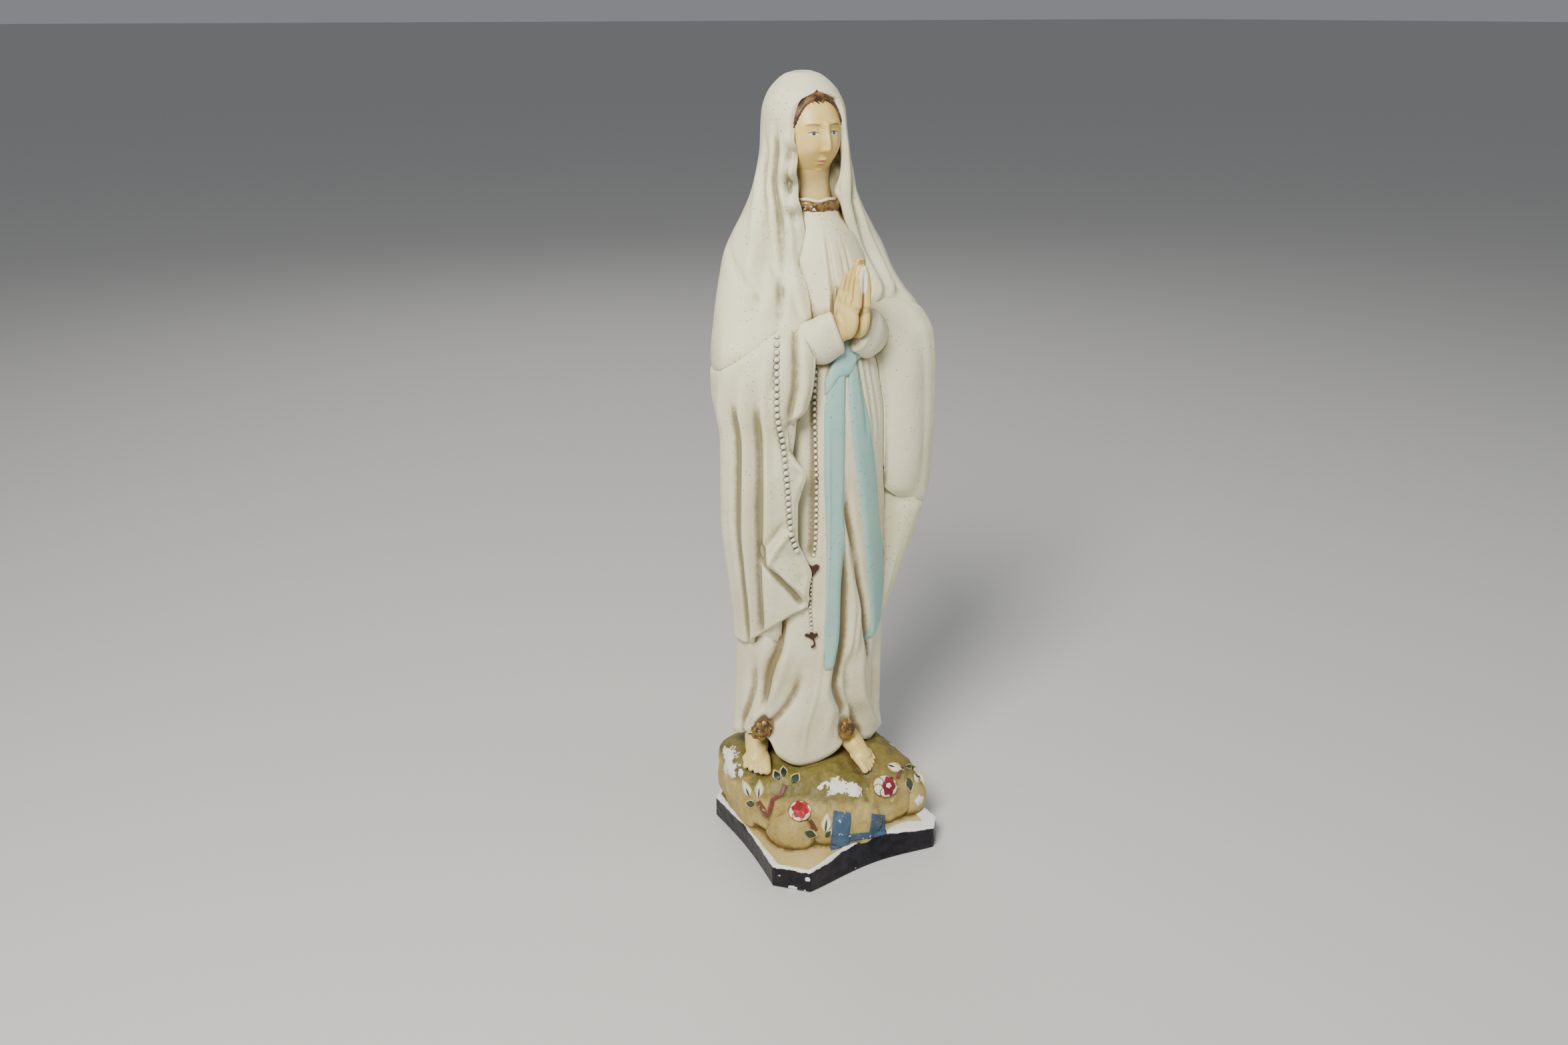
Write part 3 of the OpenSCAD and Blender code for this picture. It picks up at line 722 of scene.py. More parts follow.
def drapeRightShape(u, v):
    start = drapeRight["start"]
    low = drapeRight["hem"] - 8 * ease(u, 0.45, 0.0)
    # u runs from the side to the front edge and v from the hem to the top; the edge's angle depends on the
    # height and the top's height on the angle, so both are worked out twice
    a = start + (-20 - start) * u
    for _ in range(2):
        top = track(drapeRight["top"], a)
        z = low + (top - low) * v
        a = start + (track(drapeRight["edge"], z) - start) * u
    roll = hump(u, 1.0, 0.02) * 1.2
    # the fold valleys and the curl under the top get painted shade
    valley = valleyDepth(drapeRight["folds"], a, z) + 0.8 * ease(z - top, -3, 0)
    return drapeRightPoint(a, z, -roll - 2.4 * hump(u, 0.0, 0.06)), valley


drapeRightPiece = gridPiece("drapeRight", 210, 250, drapeRightShape, veilPaint)
faceOutward(drapeRightPiece, gown["axis"])
thicken(drapeRightPiece, drapeRight["wall"])

drapeLeft = {
    "wall": 2.4,
    "start": 134.0,
    "low": [(0, 156), (0.45, 155), (0.68, 150), (0.79, 152.5), (0.9, 159), (1, 168)],
    "top": [(20, 236), (32, 237), (45, 238), (60, 238), (80, 236), (100, 230), (134, 224)],
    "edge": [(150, 50), (154, 46), (160, 38), (166, 35), (174, 33), (184, 32), (196, 31), (217, 28), (226, 28),
             (238, 30)],
    "folds": [
        ([(160, 40), (192, 38), (215, 36), (232, 34)], 4, -1.8, (156, 168, 218, 234)),
        ([(160, 50), (215, 44), (232, 42)], 4, 1.2, (150, 165, 218, 236)),
        ([(150, 62), (213, 54), (232, 50)], 5, -1.5, (146, 160, 220, 236)),
        ([(150, 78), (230, 70)], 6, 1.0, (146, 160, 215, 234)),
        ([(150, 96), (225, 90)], 6, -1.3, (146, 160, 210, 230)),
        ([(150, 114), (225, 108)], 6, 1.2, (146, 160, 210, 226)),
    ],
}


def drapeLeftPoint(a, z, out=0.0):
    top = track(drapeLeft["top"], a)
    curl = ease(z - top, -8, 0) ** 2
    lift = foldLift(drapeLeft["folds"], a, z)
    points = onForm(outerForm, a, z, lift + 0.4 - 3.2 * curl + out)
    # the front of the drape grows out of the gown
    edge = track(drapeLeft["edge"], z)
    lean = 1 - ease(a - edge, 0, 26) ** 1.3
    onGown = onForm(gownForm, edge + 10, z, 0.15 + out)
    return points + (onGown - points) * (0.96 * lean)[:, None]


def drapeLeftShape(u, v):
    start = drapeLeft["start"]
    low = track(drapeLeft["low"], u)
    top = track(drapeLeft["top"], start + (24 - start) * u)
    z = low + (top - low) * v
    a = start + (track(drapeLeft["edge"], z) - start) * u
    valley = valleyDepth(drapeLeft["folds"], a, z)
    return drapeLeftPoint(a, z, -2.4 * hump(u, 0.0, 0.06) - 1.5 * hump(v, 0.0, 0.02)), valley


drapeLeftPiece = gridPiece("drapeLeft", 180, 160, drapeLeftShape, veilPaint)
faceOutward(drapeLeftPiece, gown["axis"])
thicken(drapeLeftPiece, drapeLeft["wall"])
print("drapes hung")

# sleeves
sleeve = {
    "path": [(-36, 10, 220), (-28, 3, 223), (-19, -4.5, 225.3), (-10.6, -11.4, 227.6), (-3.2, -14.0, 230.8)],
    "tall": [6, 6.5, 7.2, 9.0, 7.8],
    "deep": [4, 4, 4.4, 6.0, 5.8],
    "slant": 0.42,
    "lean": (0.42, 0.9),      # which way the sleeve's depth points
}


def sleevePiece(name, side):
    def shape(u, v):
        t = v * (len(sleeve["path"]) - 1)
        marks = range(len(sleeve["path"]))
        x, y, z = [track([(i, sleeve["path"][i][k]) for i in marks], t) for k in range(3)]
        tall = track([(i, sleeve["tall"][i]) for i in marks], t)
        deep = track([(i, sleeve["deep"][i]) for i in marks], t)
        # the end rounds over and dips into the opening
        endIn = np.sqrt(np.clip(1 - ease(v, 0.93, 1.0) ** 2, 0, 1))
        b = u * 2 * np.pi
        crease = 1 + 0.035 * np.sin(b * 3 + v * 9) + 0.03 * np.sin(v * 26)
        reach = deep * endIn * crease * np.cos(b)
        px = x + reach * sleeve["lean"][0] - sleeve["slant"] * tall * endIn * np.sin(b) * ease(v, 0.55, 1.0)
        py = y + reach * sleeve["lean"][1]
        pz = z + tall * endIn * crease * np.sin(b)
        return np.stack([px * -side, py, pz], axis=-1)
    return gridPiece(name, 56, 90, shape, veilPaint, closeRound=True)


sleeveRightPiece = sleevePiece("sleeveRight", -1)
sleeveLeftPiece = sleevePiece("sleeveLeft", 1)
print("sleeves set")

# hands
hand = {
    "wrist": (5.0, -13.6, 230.6),
    "fingers": [   # y at the knuckles and at the tips, tip height, radius
        (-11.2, -15.2, 252.0, 1.6), (-14.7, -17.6, 256.4, 1.75), (-18.3, -19.9, 258.0, 1.8),
        (-21.7, -21.9, 255.8, 1.6)],
    "middle": 0.7,      # x of the plane where the palms meet
    "press": 0.75,      # how far each hand is pushed to it
    "grooves": [(-12.9, -16.2), (-16.5, -18.7), (-20.0, -20.9)],      # y between the fingers, knuckles and tips
    "knuckles": 241,    # height where the grooves start
    "length": 15,
}


def handPiece(name, side):
    bm = bmesh.new()
    wx, wy, wz = hand["wrist"]
    addLimb(bm, [(-wx * 1.9, wy + 2, wz - 3.5, 3.9), (-wx, wy, wz, 4.2), (-3.9, -14.8, 234, 4.0)], 24)
    addBall(bm, (-3.2, -15.6, 235.5), (3.1, 6.6, 8.0), turn=(10, 0, 0), rings=20)
    addBall(bm, (-2.8, -16.4, 241.0), (2.6, 6.4, 5.2), turn=(8, 0, 0), rings=20)
    for knuckle, tip, height, radius in hand["fingers"]:
        addLimb(bm, [(-2.7, knuckle, 241.5, radius * 1.1),
                     (-2.5, (knuckle * 2 + tip) / 3, 246.5, radius * 1.06),
                     (-2.2, (knuckle + tip * 2) / 3, 251, radius * 0.98),
                     (-1.3, tip, height - 1.2, radius * 0.72)], 16)
    addLimb(bm, [(-4.0, -11.6, 234, 2.4), (-2.9, -9.4, 239, 2.1), (-1.8, -9.6, 244, 1.7)], 16)
    if side > 0:
        bmesh.ops.scale(bm, vec=(-1, 1, 1), verts=bm.verts)
        bmesh.ops.reverse_faces(bm, faces=bm.faces)
    bmesh.ops.translate(bm, verts=bm.verts, vec=((hand["middle"] - side * hand["press"]) * mm, 0, 0))
    piece = joinVolumes(name, bm, 0.32, 1, handPaint)
    for vert in piece.data.vertices:
        x, y, z = vert.co / mm
        share = (z - hand["knuckles"]) / hand["length"]
        cut = sum(math.exp(-((y - low - (high - low) * share) / 0.42) ** 2) for low, high in hand["grooves"])
        if side * (x - hand["middle"]) > 1.2:
            vert.co.x += side * -0.75 * cut * float(ease(z, 238, 242)) * mm
    return piece


def makeHandPaint():
    p = Paint("handPaint")
    x, y, z = [axis * 1000.0 for axis in p.axes()]
    shadeAndGrime = p.attribute("shadeAndGrime")
    fine = p.grain(300.0, 3.0)
    colour = p.blend(p.step(p.grain(70.0, 3.0), 0.4, 0.7), rgb(0.76, 0.59, 0.20), rgb(0.68, 0.485, 0.12))
    # darker where the hands close on each other: painted shade from the occlusion, together with grime
    colour = p.blend(p.step(shadeAndGrime + (fine - 0.5) * 0.3, 0.25, 0.9) * 0.8, colour, rgb(0.44, 0.27, 0.08))
    # painted shade along the grooves between the fingers
    for low, high in hand["grooves"]:
        groove = (y - low - (high - low) * (z - hand["knuckles"]) * (1 / hand["length"])).size()
        dark = (1 - p.step(groove, 0.1, 0.38)) * p.step(z, 239.0, 243.0) * 0.8
        colour = p.blend(dark, colour, rgb(0.30, 0.15, 0.035))
    ragged = p.grain(330.0, 4.0, 0.65)
    # bare plaster where the paint has left the front of the fingers
    away = ((x - 0.2) / 1.7) ** 2 + ((z - 250.5) / 5.4) ** 2
    chip = (1 - p.step(away + (ragged - 0.5) * 1.3, 0.85, 1.0)) * (1 - p.step(y, -20.6, -19.8))
    colour = p.blend(chip, colour, rgb(0.84, 0.81, 0.70))
    return p.finish(colour, 0.42 + 0.3 * chip, fine - chip * 0.8, 0.0001, coat=0.12, specular=0.45)


handPaint = makeHandPaint()
handRightPiece = handPiece("handRight", -1)
handLeftPiece = handPiece("handLeft", 1)
print("hands joined")

# head
face = {
    "centre": (0, 17.2, 298.4),
    "radii": (11.4, 13.6, 17.0),
    "crown": 15.2,        # height of the skull above its middle
    "browHeight": 301.6,
    "eyeHeight": 298.8,
    "noseHeight": 292.2,
    "mouthHeight": 288.4,
    "chinHeight": 283.0,
    "eyeApart": 4.2,
    "pivot": (0, 17, 290),
}


def faceRelief():
    # swellings, and dents where the depth is negative: across, height, half width, half height, depth
    brow, eye, nose, mouth = [face[part + "Height"] for part in ("brow", "eye", "nose", "mouth")]
    rows = [(0, brow + 5, 7, 4.5, 0.5)]
    for side in (-1, 1):
        rows += [(side * face["eyeApart"], eye + 0.2, 2.7, 1.7, -1.15),
                 (side * face["eyeApart"], eye - 0.1, 1.9, 1.0, 0.75),
                 (side * face["eyeApart"], brow + 0.2, 3.0, 0.9, 0.45),
                 (side * 5.2, nose + 0.6, 2.8, 2.6, 0.7), (side * 1.15, nose + 0.35, 0.75, 0.75, 0.8),
                 (side * 1.5, nose - 1.1, 1.0, 0.7, -0.25)]
    return rows + [(0, mouth + 0.62, 1.9, 0.5, 0.75), (0, mouth - 0.75, 1.6, 0.62, 0.85),
                   (0, mouth - 0.02, 2.3, 0.24, -0.45), (0, mouth - 2.3, 1.8, 0.7, -0.4),
                   (0, face["chinHeight"] + 1.0, 2.6, 1.9, 1.0)]


def headShape():
    bm = bmesh.new()
    bmesh.ops.create_uvsphere(bm, u_segments=200, v_segments=200, radius=1.0)
    x, y, z = np.array([v.co for v in bm.verts]).T
    cx, cy, cz = face["centre"]
    rx, ry, rz = face["radii"]
    # the egg narrows to the chin
    px = x * rx * (1 - 0.15 * ease(-z, 0.25, 1.0) - 0.05 * ease(z, 0.5, 1.0))
    py = y * ry * (1 - 0.10 * ease(-z, 0.3, 1.0))
    h = z * np.where(z > 0, face["crown"], rz) + cz
    front = ease(-y, 0.1, 0.75)
    # flatter face plane
    py = py + front * 1.1 * hump(px, 0, 8)
    for x0, z0, wide, tall, depth in faceRelief():
        py = py - depth * np.exp(-((px - x0) / wide) ** 2 - ((h - z0) / tall) ** 2) * front
    bridge = track([(-2, 0.9), (0, 1.0), (4, 1.6), (8.8, 2.9), (9.8, 2.6)], face["browHeight"] + 0.5 - h)
    onNose = ease(face["browHeight"] + 1.5 - h, 0, 2) * (1 - ease(face["browHeight"] - h, 9.4, 10.6))
    py = py - bridge * onNose * np.exp(-(px / (0.95 + 0.35 * onNose)) ** 2) * front
    # a slight lift and turn of the head
    tilt = Matrix.Rotation(math.radians(-2.5), 4, "X") @ Matrix.Rotation(math.radians(3), 4, "Z")
    pivot = Vector(face["pivot"])
    for vert, co in zip(bm.verts, np.stack([px + cx, py + cy, h], axis=-1)):
        vert.co = (tilt @ (Vector(co) - pivot) + pivot) * mm
    return bm


def makeFacePaint():
    p = Paint("facePaint")
    shadeAndGrime = p.attribute("shadeAndGrime")
    x, y, z = [axis * 1000.0 for axis in p.axes()]
    fine = p.grain(300.0, 3.0)
    tint = p.grain(90.0, 3.0)
    colour = p.blend(p.step(tint, 0.35, 0.7), rgb(0.77, 0.59, 0.19), rgb(0.69, 0.49, 0.12))
    front = 1 - p.step(y, 11.0, 13.0)
    side = x.size()
    eyeH, browH, mouthH = face["eyeHeight"], face["browHeight"], face["mouthHeight"]

    def oval(acrossX, upZ, centreX, centreZ, wide, tall, soft=0.15):
        away = ((acrossX - centreX) / wide) ** 2 + ((upZ - centreZ) / tall) ** 2
        return (1 - p.step(away, 1 - soft, 1 + soft)) * front

    blush = oval(side, z, 5.4, 293.0, 3.6, 3.2, 0.9)
    colour = p.blend(blush * 0.22, colour, rgb(0.80, 0.38, 0.22))
    # darker in the eye sockets and creases: painted shade from the occlusion, together with grime
    colour = p.blend(p.step(shadeAndGrime + (fine - 0.5) * 0.3, 0.45, 1.1) * 0.5, colour, rgb(0.55, 0.38, 0.15))
    eyeX = side - face["eyeApart"]
    sag = eyeX * eyeX * 0.11
    white = oval(eyeX, z + sag, 0.0, eyeH, 1.95, 0.62)
    colour = p.blend(white * 0.8, colour, rgb(0.78, 0.76, 0.68))
    iris = oval(eyeX, z, 0.0, eyeH + 0.02, 0.62, 0.60) * p.step(white, 0.2, 0.6)
    colour = p.blend(iris, colour, rgb(0.05, 0.055, 0.07))
    lid = oval(eyeX, z + sag, 0.0, eyeH + 0.62, 2.15, 0.26, 0.4)
    colour = p.blend(lid * 0.9, colour, rgb(0.07, 0.045, 0.03))
    brow = oval(eyeX - 0.2, z + (eyeX - 0.2) * (eyeX - 0.2) * 0.10, 0.0, browH + 0.35, 2.7, 0.24, 0.5)
    colour = p.blend(brow * 0.75, colour, rgb(0.16, 0.09, 0.04))
    lipUp = oval(x, z + side * 0.13, 0.0, mouthH + 0.42, 1.95, 0.42)
    lipLow = oval(x, z - x * x * 0.06, 0.0, mouthH - 0.52, 1.45, 0.55)
    colour = p.blend(lipUp.highest(lipLow) * 0.85, colour, rgb(0.72, 0.24, 0.13))
    return p.finish(colour, 0.42, fine, 0.00005, coat=0.12, specular=0.45)


facePaint = makeFacePaint()
headPiece = newObject("head", headShape(), facePaint)
print("head shaped")


neck = {
    "radius": [(262, 9.0), (268, 8.1), (274, 7.4), (281, 7.2), (285, 7.7), (288, 8.2)],
    "middle": [(262, 14.6), (274, 15.4), (282, 17.0), (288, 17.8)],      # y of its axis at each height
}


def neckShape(u, v):
    z = 262 + 26 * v
    a = u * 2 * np.pi
    r = track(neck["radius"], z)
    y0 = track(neck["middle"], z)
    return np.stack([r * np.sin(a) + 0.4, y0 - r * 0.98 * np.cos(a), z], axis=-1)


neckPiece = gridPiece("neck", 56, 24, neckShape, skinPaint, closeRound=True)


def liningShape(u, v):
    # the veil's inner side closes in on the neck
    x = 26 * (u - 0.5)
    z = 266 + 28 * v
    wide = track([(266, 1.0), (280, 0.96), (294, 0.92)], z)
    y = 14.0 - 3.2 * ease(np.abs(x), 5.5, 11.5) + 4.5 * ease(z, 280, 294) + 0.5 * np.sin(z * 0.6 + np.abs(x))
    return np.stack([x * wide, y, z], axis=-1)


liningPiece = gridPiece("veilLining", 40, 40, liningShape, veilPaint)
thicken(liningPiece, 1.2, 0.0)


collar = {
    "axis": (0.3, 15.6),
    "radius": 10.3,
    "height": 273.4,
    "rimRadius": 9.3,
    "rimHeight": 275.7,
    "dip": 0.9,      # how much lower both run in front
}


def collarShape(u, v):
    a = u * 2 * np.pi
    b = v * 2 * np.pi
    # a flat band: a rounded oblong swept round the neck
    x0, y0 = collar["axis"]
    r = collar["radius"] + 0.75 * np.cos(b) * (1 - 0.3 * np.sin(b) ** 2)
    height = collar["height"] - collar["dip"] * np.cos(a) + 2.0 * np.sign(np.sin(b)) * np.abs(np.sin(b)) ** 0.6
    height = height + 0.2 * np.sin(a * 6) + 0.16 * np.sin(a * 17) + 0.1 * np.sin(a * 31)
    return np.stack([r * np.sin(a) + x0, y0 - r * np.cos(a), height], axis=-1)


collarPiece = gridPiece("collar", 96, 20, collarShape, giltPaint, closeRound=True)


def rimShape(u, v):
    a = u * 2 * np.pi
    b = v * 2 * np.pi
    x0, y0 = collar["axis"]
    r = collar["rimRadius"] + 0.8 * np.cos(b)
    height = collar["rimHeight"] - collar["dip"] * np.cos(a) + 0.8 * np.sin(b) + 0.3 * np.sin(a * 7)
    return np.stack([r * np.sin(a) + x0, y0 - r * 0.98 * np.cos(a), height], axis=-1)


collarRimPiece = gridPiece("collarRim", 96, 16, rimShape, gownPaint, closeRound=True)


hair = {
    "centre": (0, 17.4, 298.4),
    "radii": (11.9, 14.1, 15.8),
    "parting": 310.9,      # height of the hair line at the middle
    "lowest": 298.0,
}


def hairPiece(name, side):
    bm = bmesh.new()
    addBall(bm, hair["centre"], hair["radii"], rings=60)
    # keep the cap above a parting line that curves down to the temple
    for vert in bm.verts:
        co = vert.co / mm
        line = hair["parting"] - 0.045 * co.x ** 2 - 0.0005 * co.x ** 4
        if co.z < line and co.y < 16:
            shrink = min(1.0, (line - co.z) / 0.8)
            centre = Vector((0, 17.6, co.z))
            vert.co = (co + (centre - co) * 0.16 * shrink) * mm
    gone = [v for v in bm.verts if v.co.x * side < -0.00002 or v.co.z < hair["lowest"] * mm]
    bmesh.ops.delete(bm, geom=gone, context="VERTS")
    for vert in bm.verts:
        co = vert.co / mm
        strand = 0.16 * math.sin((abs(co.x) * 0.9 + (312 - co.z) * 0.9) * 4.0)
        out = (co - Vector((0, 17.6, 301.2))).normalized()
        vert.co = (co + out * strand) * mm
    return newObject(name, bm, hairPaint)


def makeHairPaint():
    p = Paint("hairPaint")
    streak = p.grain(260.0, 3.0, 0.6)
    colour = p.blend(p.step(streak, 0.40, 0.62), rgb(0.045, 0.018, 0.006), rgb(0.20, 0.10, 0.028))
    return p.finish(colour, 0.5, streak, 0.0002)


hairPaint = makeHairPaint()
hairRightPiece = hairPiece("hairRight", -1)
hairLeftPiece = hairPiece("hairLeft", 1)

# rocks
rocks = {
    "foot": 9.5,      # just inside the plinth
    # centre, radii, squareness of each lump
    "mound": [((0, 9.5, 22), (37.5, 28, 18), 3.2), ((-1, -6, 15.5), (21.5, 25.5, 21), 2.5),
              ((21, -7, 18), (16.5, 19.5, 20.5), 2.8), ((-26, 20, 24), (13, 17, 17.5), 2.6)],
    "left": [((-27.5, 14, 18), (10.8, 18, 21.5), 2.5), ((-28.5, 6, 16), (9.5, 10, 18), 2.4)],
    "front": [((-21.5, -12.5, 12.5), (12.0, 12.5, 14.0), 2.1), ((-14, -18, 12), (6, 6.5, 9), 2.1)],
    "right": [((32.6, -15, 13.4), (9.0, 12, 14.8), 2.2), ((33.5, -5, 13), (6.5, 10, 13), 2.2)],
}


def addBoulder(bm, centre, radii, square):
    for vert in addBall(bm, (0, 0, 0), (1, 1, 1), rings=28):
        x, y, z = vert.co / mm
        size = (abs(x) ** square + abs(y) ** square + abs(z) ** square) ** (1 / square)
        vert.co = Vector((centre[0] + radii[0] * x / size, centre[1] + radii[1] * y / size,
                          centre[2] + radii[2] * z / size)) * mm


def rockPiece(name, lumps, voxel, rounds, rough, top=None):
    bm = bmesh.new()
    for centre, radii, square in lumps:
        addBoulder(bm, centre, radii, square)
    piece = joinVolumes(name, bm, voxel, rounds, rockPaint)
    for vert in piece.data.vertices:
        co = vert.co / mm
        out = (co - Vector((0, 0, 15))).normalized()
        push = rough * (noise.noise(co / 10.0) + 0.45 * noise.noise(co / 4.0) + 0.15 * noise.noise(co / 1.6))
        co = co + out * push
        if top and co.z > top:
            co.z = top + (co.z - top) * 0.35
        co.z = max(co.z, rocks["foot"])
        vert.co = co * mm
    return piece


moundPiece = rockPiece("rockMound", rocks["mound"], 0.9, 5, 1.6, top=38.2)
leftRockPiece = rockPiece("rockLeft", rocks["left"], 0.8, 5, 1.3)
frontRockPiece = rockPiece("rockFront", rocks["front"], 0.7, 4, 1.1)
rightRockPiece = rockPiece("rockRight", rocks["right"], 0.7, 4, 1.1)
print("rocks shaped")

# plinth
plinth = {
    "tall": 11.0,
    # the corners, walking round from the front left, and how far the front and the sides are bowed in
    "outline": [(-28, -38.6), (34.5, -37.8), (39.6, -32), (39.8, 28), (29, 38.8), (-29, 38.8), (-39.8, 28),
                (-39.8, -27.5)],
    "frontBow": 8.2,
    "footBow": 3.2,
    "skew": 1.1,      # moves the deepest place of the front's bow to the right, and makes it sharper
    "sharp": 1.25,
    "sideBow": 1.6,
    # the profile: share of the way, how far in from the edge, height
    "profile": [(0.0, 1.0, 0.0), (0.06, 0.02, 0.0), (0.12, 0.0, 0.5), (0.42, 0.0, 10.2), (0.50, 0.010, 10.9),
                (0.60, 0.034, 11.0), (0.80, 0.16, 11.0), (1.0, 1.0, 11.0)],
}


def plinthEdge(t, high):
    # t from 0 to 8 walks from corner to corner, high is 0 at the foot of the wall and 1 at the ledge
    corners = plinth["outline"] + plinth["outline"][:1]
    i = np.clip(np.floor(t).astype(int), 0, 7)
    f = t - i
    xs = np.array([c[0] for c in corners], float)
    ys = np.array([c[1] for c in corners], float)
    x = xs[i] + (xs[i + 1] - xs[i]) * f
    y = ys[i] + (ys[i + 1] - ys[i]) * f
    bow = plinth["footBow"] + (plinth["frontBow"] - plinth["footBow"]) * high
    arch = np.sin(np.pi * np.clip(f, 0, 1))
    y = y + np.where(i == 0, bow * np.sin(np.pi * f ** plinth["skew"]) ** plinth["sharp"], 0)
    x = x + np.where(i == 2, -plinth["sideBow"] * arch, 0) + np.where(i == 6, plinth["sideBow"] * arch, 0)
    return x, y


def plinthShape(u, v):
    # the profile goes from under the middle, out to the foot, up the wall, over the rounded edge and in again
    share, inwards, heights = zip(*plinth["profile"])
    inward = np.interp(v, share, inwards)
    height = np.interp(v, share, heights)
    x, y = plinthEdge(u * 8, np.clip(height / plinth["tall"], 0, 1))
    seed = np.array([noise.noise(Vector((a / 3.1, b / 3.1, h / 3.1))) for a, b, h in zip(x, y, height)])
    onEdge = hump(height, 10.6, 1.6) * (inward < 0.08)
    onWall = ease(height, 0.2, 1.5) * (inward < 0.02)
    shrink = 1 - inward - 0.010 * np.clip(seed, 0, 1) * onEdge - 0.004 * seed * onWall
    return np.stack([x * shrink, y * shrink, height - 0.25 * np.clip(seed, 0, 1) * onEdge], axis=-1)


plinthPiece = gridPiece("plinth", 448, 72, plinthShape, plinthPaint, closeRound=True)


def closeMiddles(piece):
    # draws the two pinched middles together into one vertex each
    bm = bmesh.new()
    bm.from_mesh(piece.data)
    bmesh.ops.remove_doubles(bm, verts=bm.verts, dist=0.0001)
    bmesh.ops.recalc_face_normals(bm, faces=bm.faces)
    bm.to_mesh(piece.data)
    bm.free()


closeMiddles(plinthPiece)
print("plinth cut")

# feet
feet = {
    # the toes from the big one on: radius, and reach as a share of the foot
    "toes": [(1.85, 1.03), (1.25, 1.06), (1.2, 1.02), (1.15, 0.95), (1.05, 0.87)],
    "right": {"heel": (-25.0, 15.5, 44.0), "toe": (-32.5, 1.0, 39.6), "outward": -1, "size": 1.0},
    "left": {"heel": (9.5, -3.0, 44.0), "toe": (13.8, -17.6, 38.2), "outward": 1, "size": 0.88},
}


def footPiece(name, setup):
    heel, toe = Vector(setup["heel"]), Vector(setup["toe"])
    along = toe - heel
    run = along.normalized()
    across = Vector((run.y, -run.x, 0)).normalized() * -1      # towards the figure's left
    up = across.cross(run)
    if up.z < 0:
        up = -up
    out = across * setup["outward"]                            # towards the little toe
    bm = bmesh.new()
    size = setup["size"]
    addLimb(bm, [(*(heel + up * 2.6), 5.3 * size), (*(heel + along * 0.35 + up * 1.2), 5.0 * size),
                 (*(heel + along * 0.62 + up * 0.2), 4.3 * size)], 24)
    addBall(bm, heel + along * 0.60 - up * 0.2, (5.6 * size, 5.2 * size, 3.6 * size), rings=18)
    for k, (radius, reach) in enumerate(feet["toes"]):
        shift = (k - 1.9) * 2.2 * size
        base = heel + along * 0.66 + out * shift * 0.92 - up * 0.2
        tip = heel + along * reach + out * shift * 1.06 - up * 1.2
        knuckle = base.lerp(tip, 0.6) + up * 0.45
        addLimb(bm, [(*base, 2.1 * size), (*knuckle, radius * size * 1.1), (*tip, radius * size)], 16)
    return joinVolumes(name, bm, 0.32, 1, skinPaint)


footRightPiece = footPiece("footRight", feet["right"])
footLeftPiece = footPiece("footLeft", feet["left"])


def giltRose(name, centre, radii, seed):
    random.seed(seed)
    bm = bmesh.new()
    wide, deep, tall = radii
    addBall(bm, centre, (wide * 0.78, deep * 0.7, tall * 0.78), rings=14)
    for ring, count in ((0.66, 7), (0.30, 4)):
        for k in range(count):
            angle = 2 * math.pi * (k + random.random() * 0.35) / count
            shift = Vector((math.cos(angle) * wide, (-0.55 + ring * 0.5) * deep, math.sin(angle) * tall)) * ring
            size = 0.34 + 0.08 * random.random()
            addBall(bm, Vector(centre) + shift, (wide * size, deep * size, tall * size), rings=10)
    piece = joinVolumes(name, bm, 0.36, 1, giltPaint)
    for vert in piece.data.vertices:
        co = vert.co / mm
        vert.co = (co + vert.normal * 0.35 * noise.noise(co / 0.9)) * mm
    return piece


roseFootRightPiece = giltRose("footRoseRight", (-29.6, 2.6, 57.0), (4.8, 4.2, 4.8), 3)
roseFootLeftPiece = giltRose("footRoseLeft", (6.0, -9.4, 53.2), (3.9, 3.4, 4.9), 5)
print("feet and instep roses modelled")

# sash
# each tail's edges, as (z, angle) stops on the gown
sashTailRight = {
    "thick": 1.3,
    "low": 86,
    "high": 216,
    "left": [(86, -13), (96, -14), (107, -15), (130, -16.5), (160, -19.5), (180, -21), (199, -21.5),
             (217, -16)],
    "right": [(86, -8), (91, -4), (101, -1.5), (121, -1), (136, 0), (160, -2.5), (199, -3), (217, -1)],
}
sashTailLeft = {
    "thick": 1.3,
    "low": 93,
    "high": 219,
    "left": [(93, 28), (103, 30), (118, 25.5), (129, 21), (154, 14), (172, 8), (192, 2), (206, 0), (219, 1)],
    "right": [(93, 29), (97, 38), (103, 48), (127, 50), (149, 37.5), (169, 30), (190, 21), (208, 14), (219, 9)],
}


def sashTail(name, edges):
    def shape(u, v):
        z = edges["low"] + (edges["high"] - edges["low"]) * v
        left, right = track(edges["left"], z), track(edges["right"], z)
        a = left + (right - left) * u
        crown = edges["thick"] * np.clip(1 - (2 * u - 1) ** 6, 0, 1) * ease(v, 0.0, 0.03)
        return gownPoint(a, z, crown - 0.25)
    return gridPiece(name, 36, 240, shape, sashPaint)


sashTailRightPiece = sashTail("sashTailRight", sashTailRight)
sashTailLeftPiece = sashTail("sashTailLeft", sashTailLeft)


belt = {
    "reach": 21,      # degrees to each side
    "low": [(-21, 206), (-16, 208), (-9, 212), (1, 213), (9, 217), (15, 219), (21, 221)],
    "high": [(-21, 212), (-13, 221), (-3, 227), (5, 228), (13, 226), (21, 223)],
}


def beltShape(u, v):
    a = belt["reach"] * (2 * u - 1)
    low = track(belt["low"], a)
    high = track(belt["high"], a)
    z = low + (high - low) * v
    crown = 1.9 * (np.clip(1 - (2 * v - 1) ** 4, 0, 1) * np.clip(1 - (2 * u - 1) ** 8, 0, 1)) ** 0.6
    return gownPoint(a, z, crown - 0.2)


beltPiece = gridPiece("sashBelt", 50, 30, beltShape, sashPaint)
for sashMade in (sashTailRightPiece, sashTailLeftPiece, beltPiece):
    faceOutward(sashMade, gown["axis"])
print("sash tied")

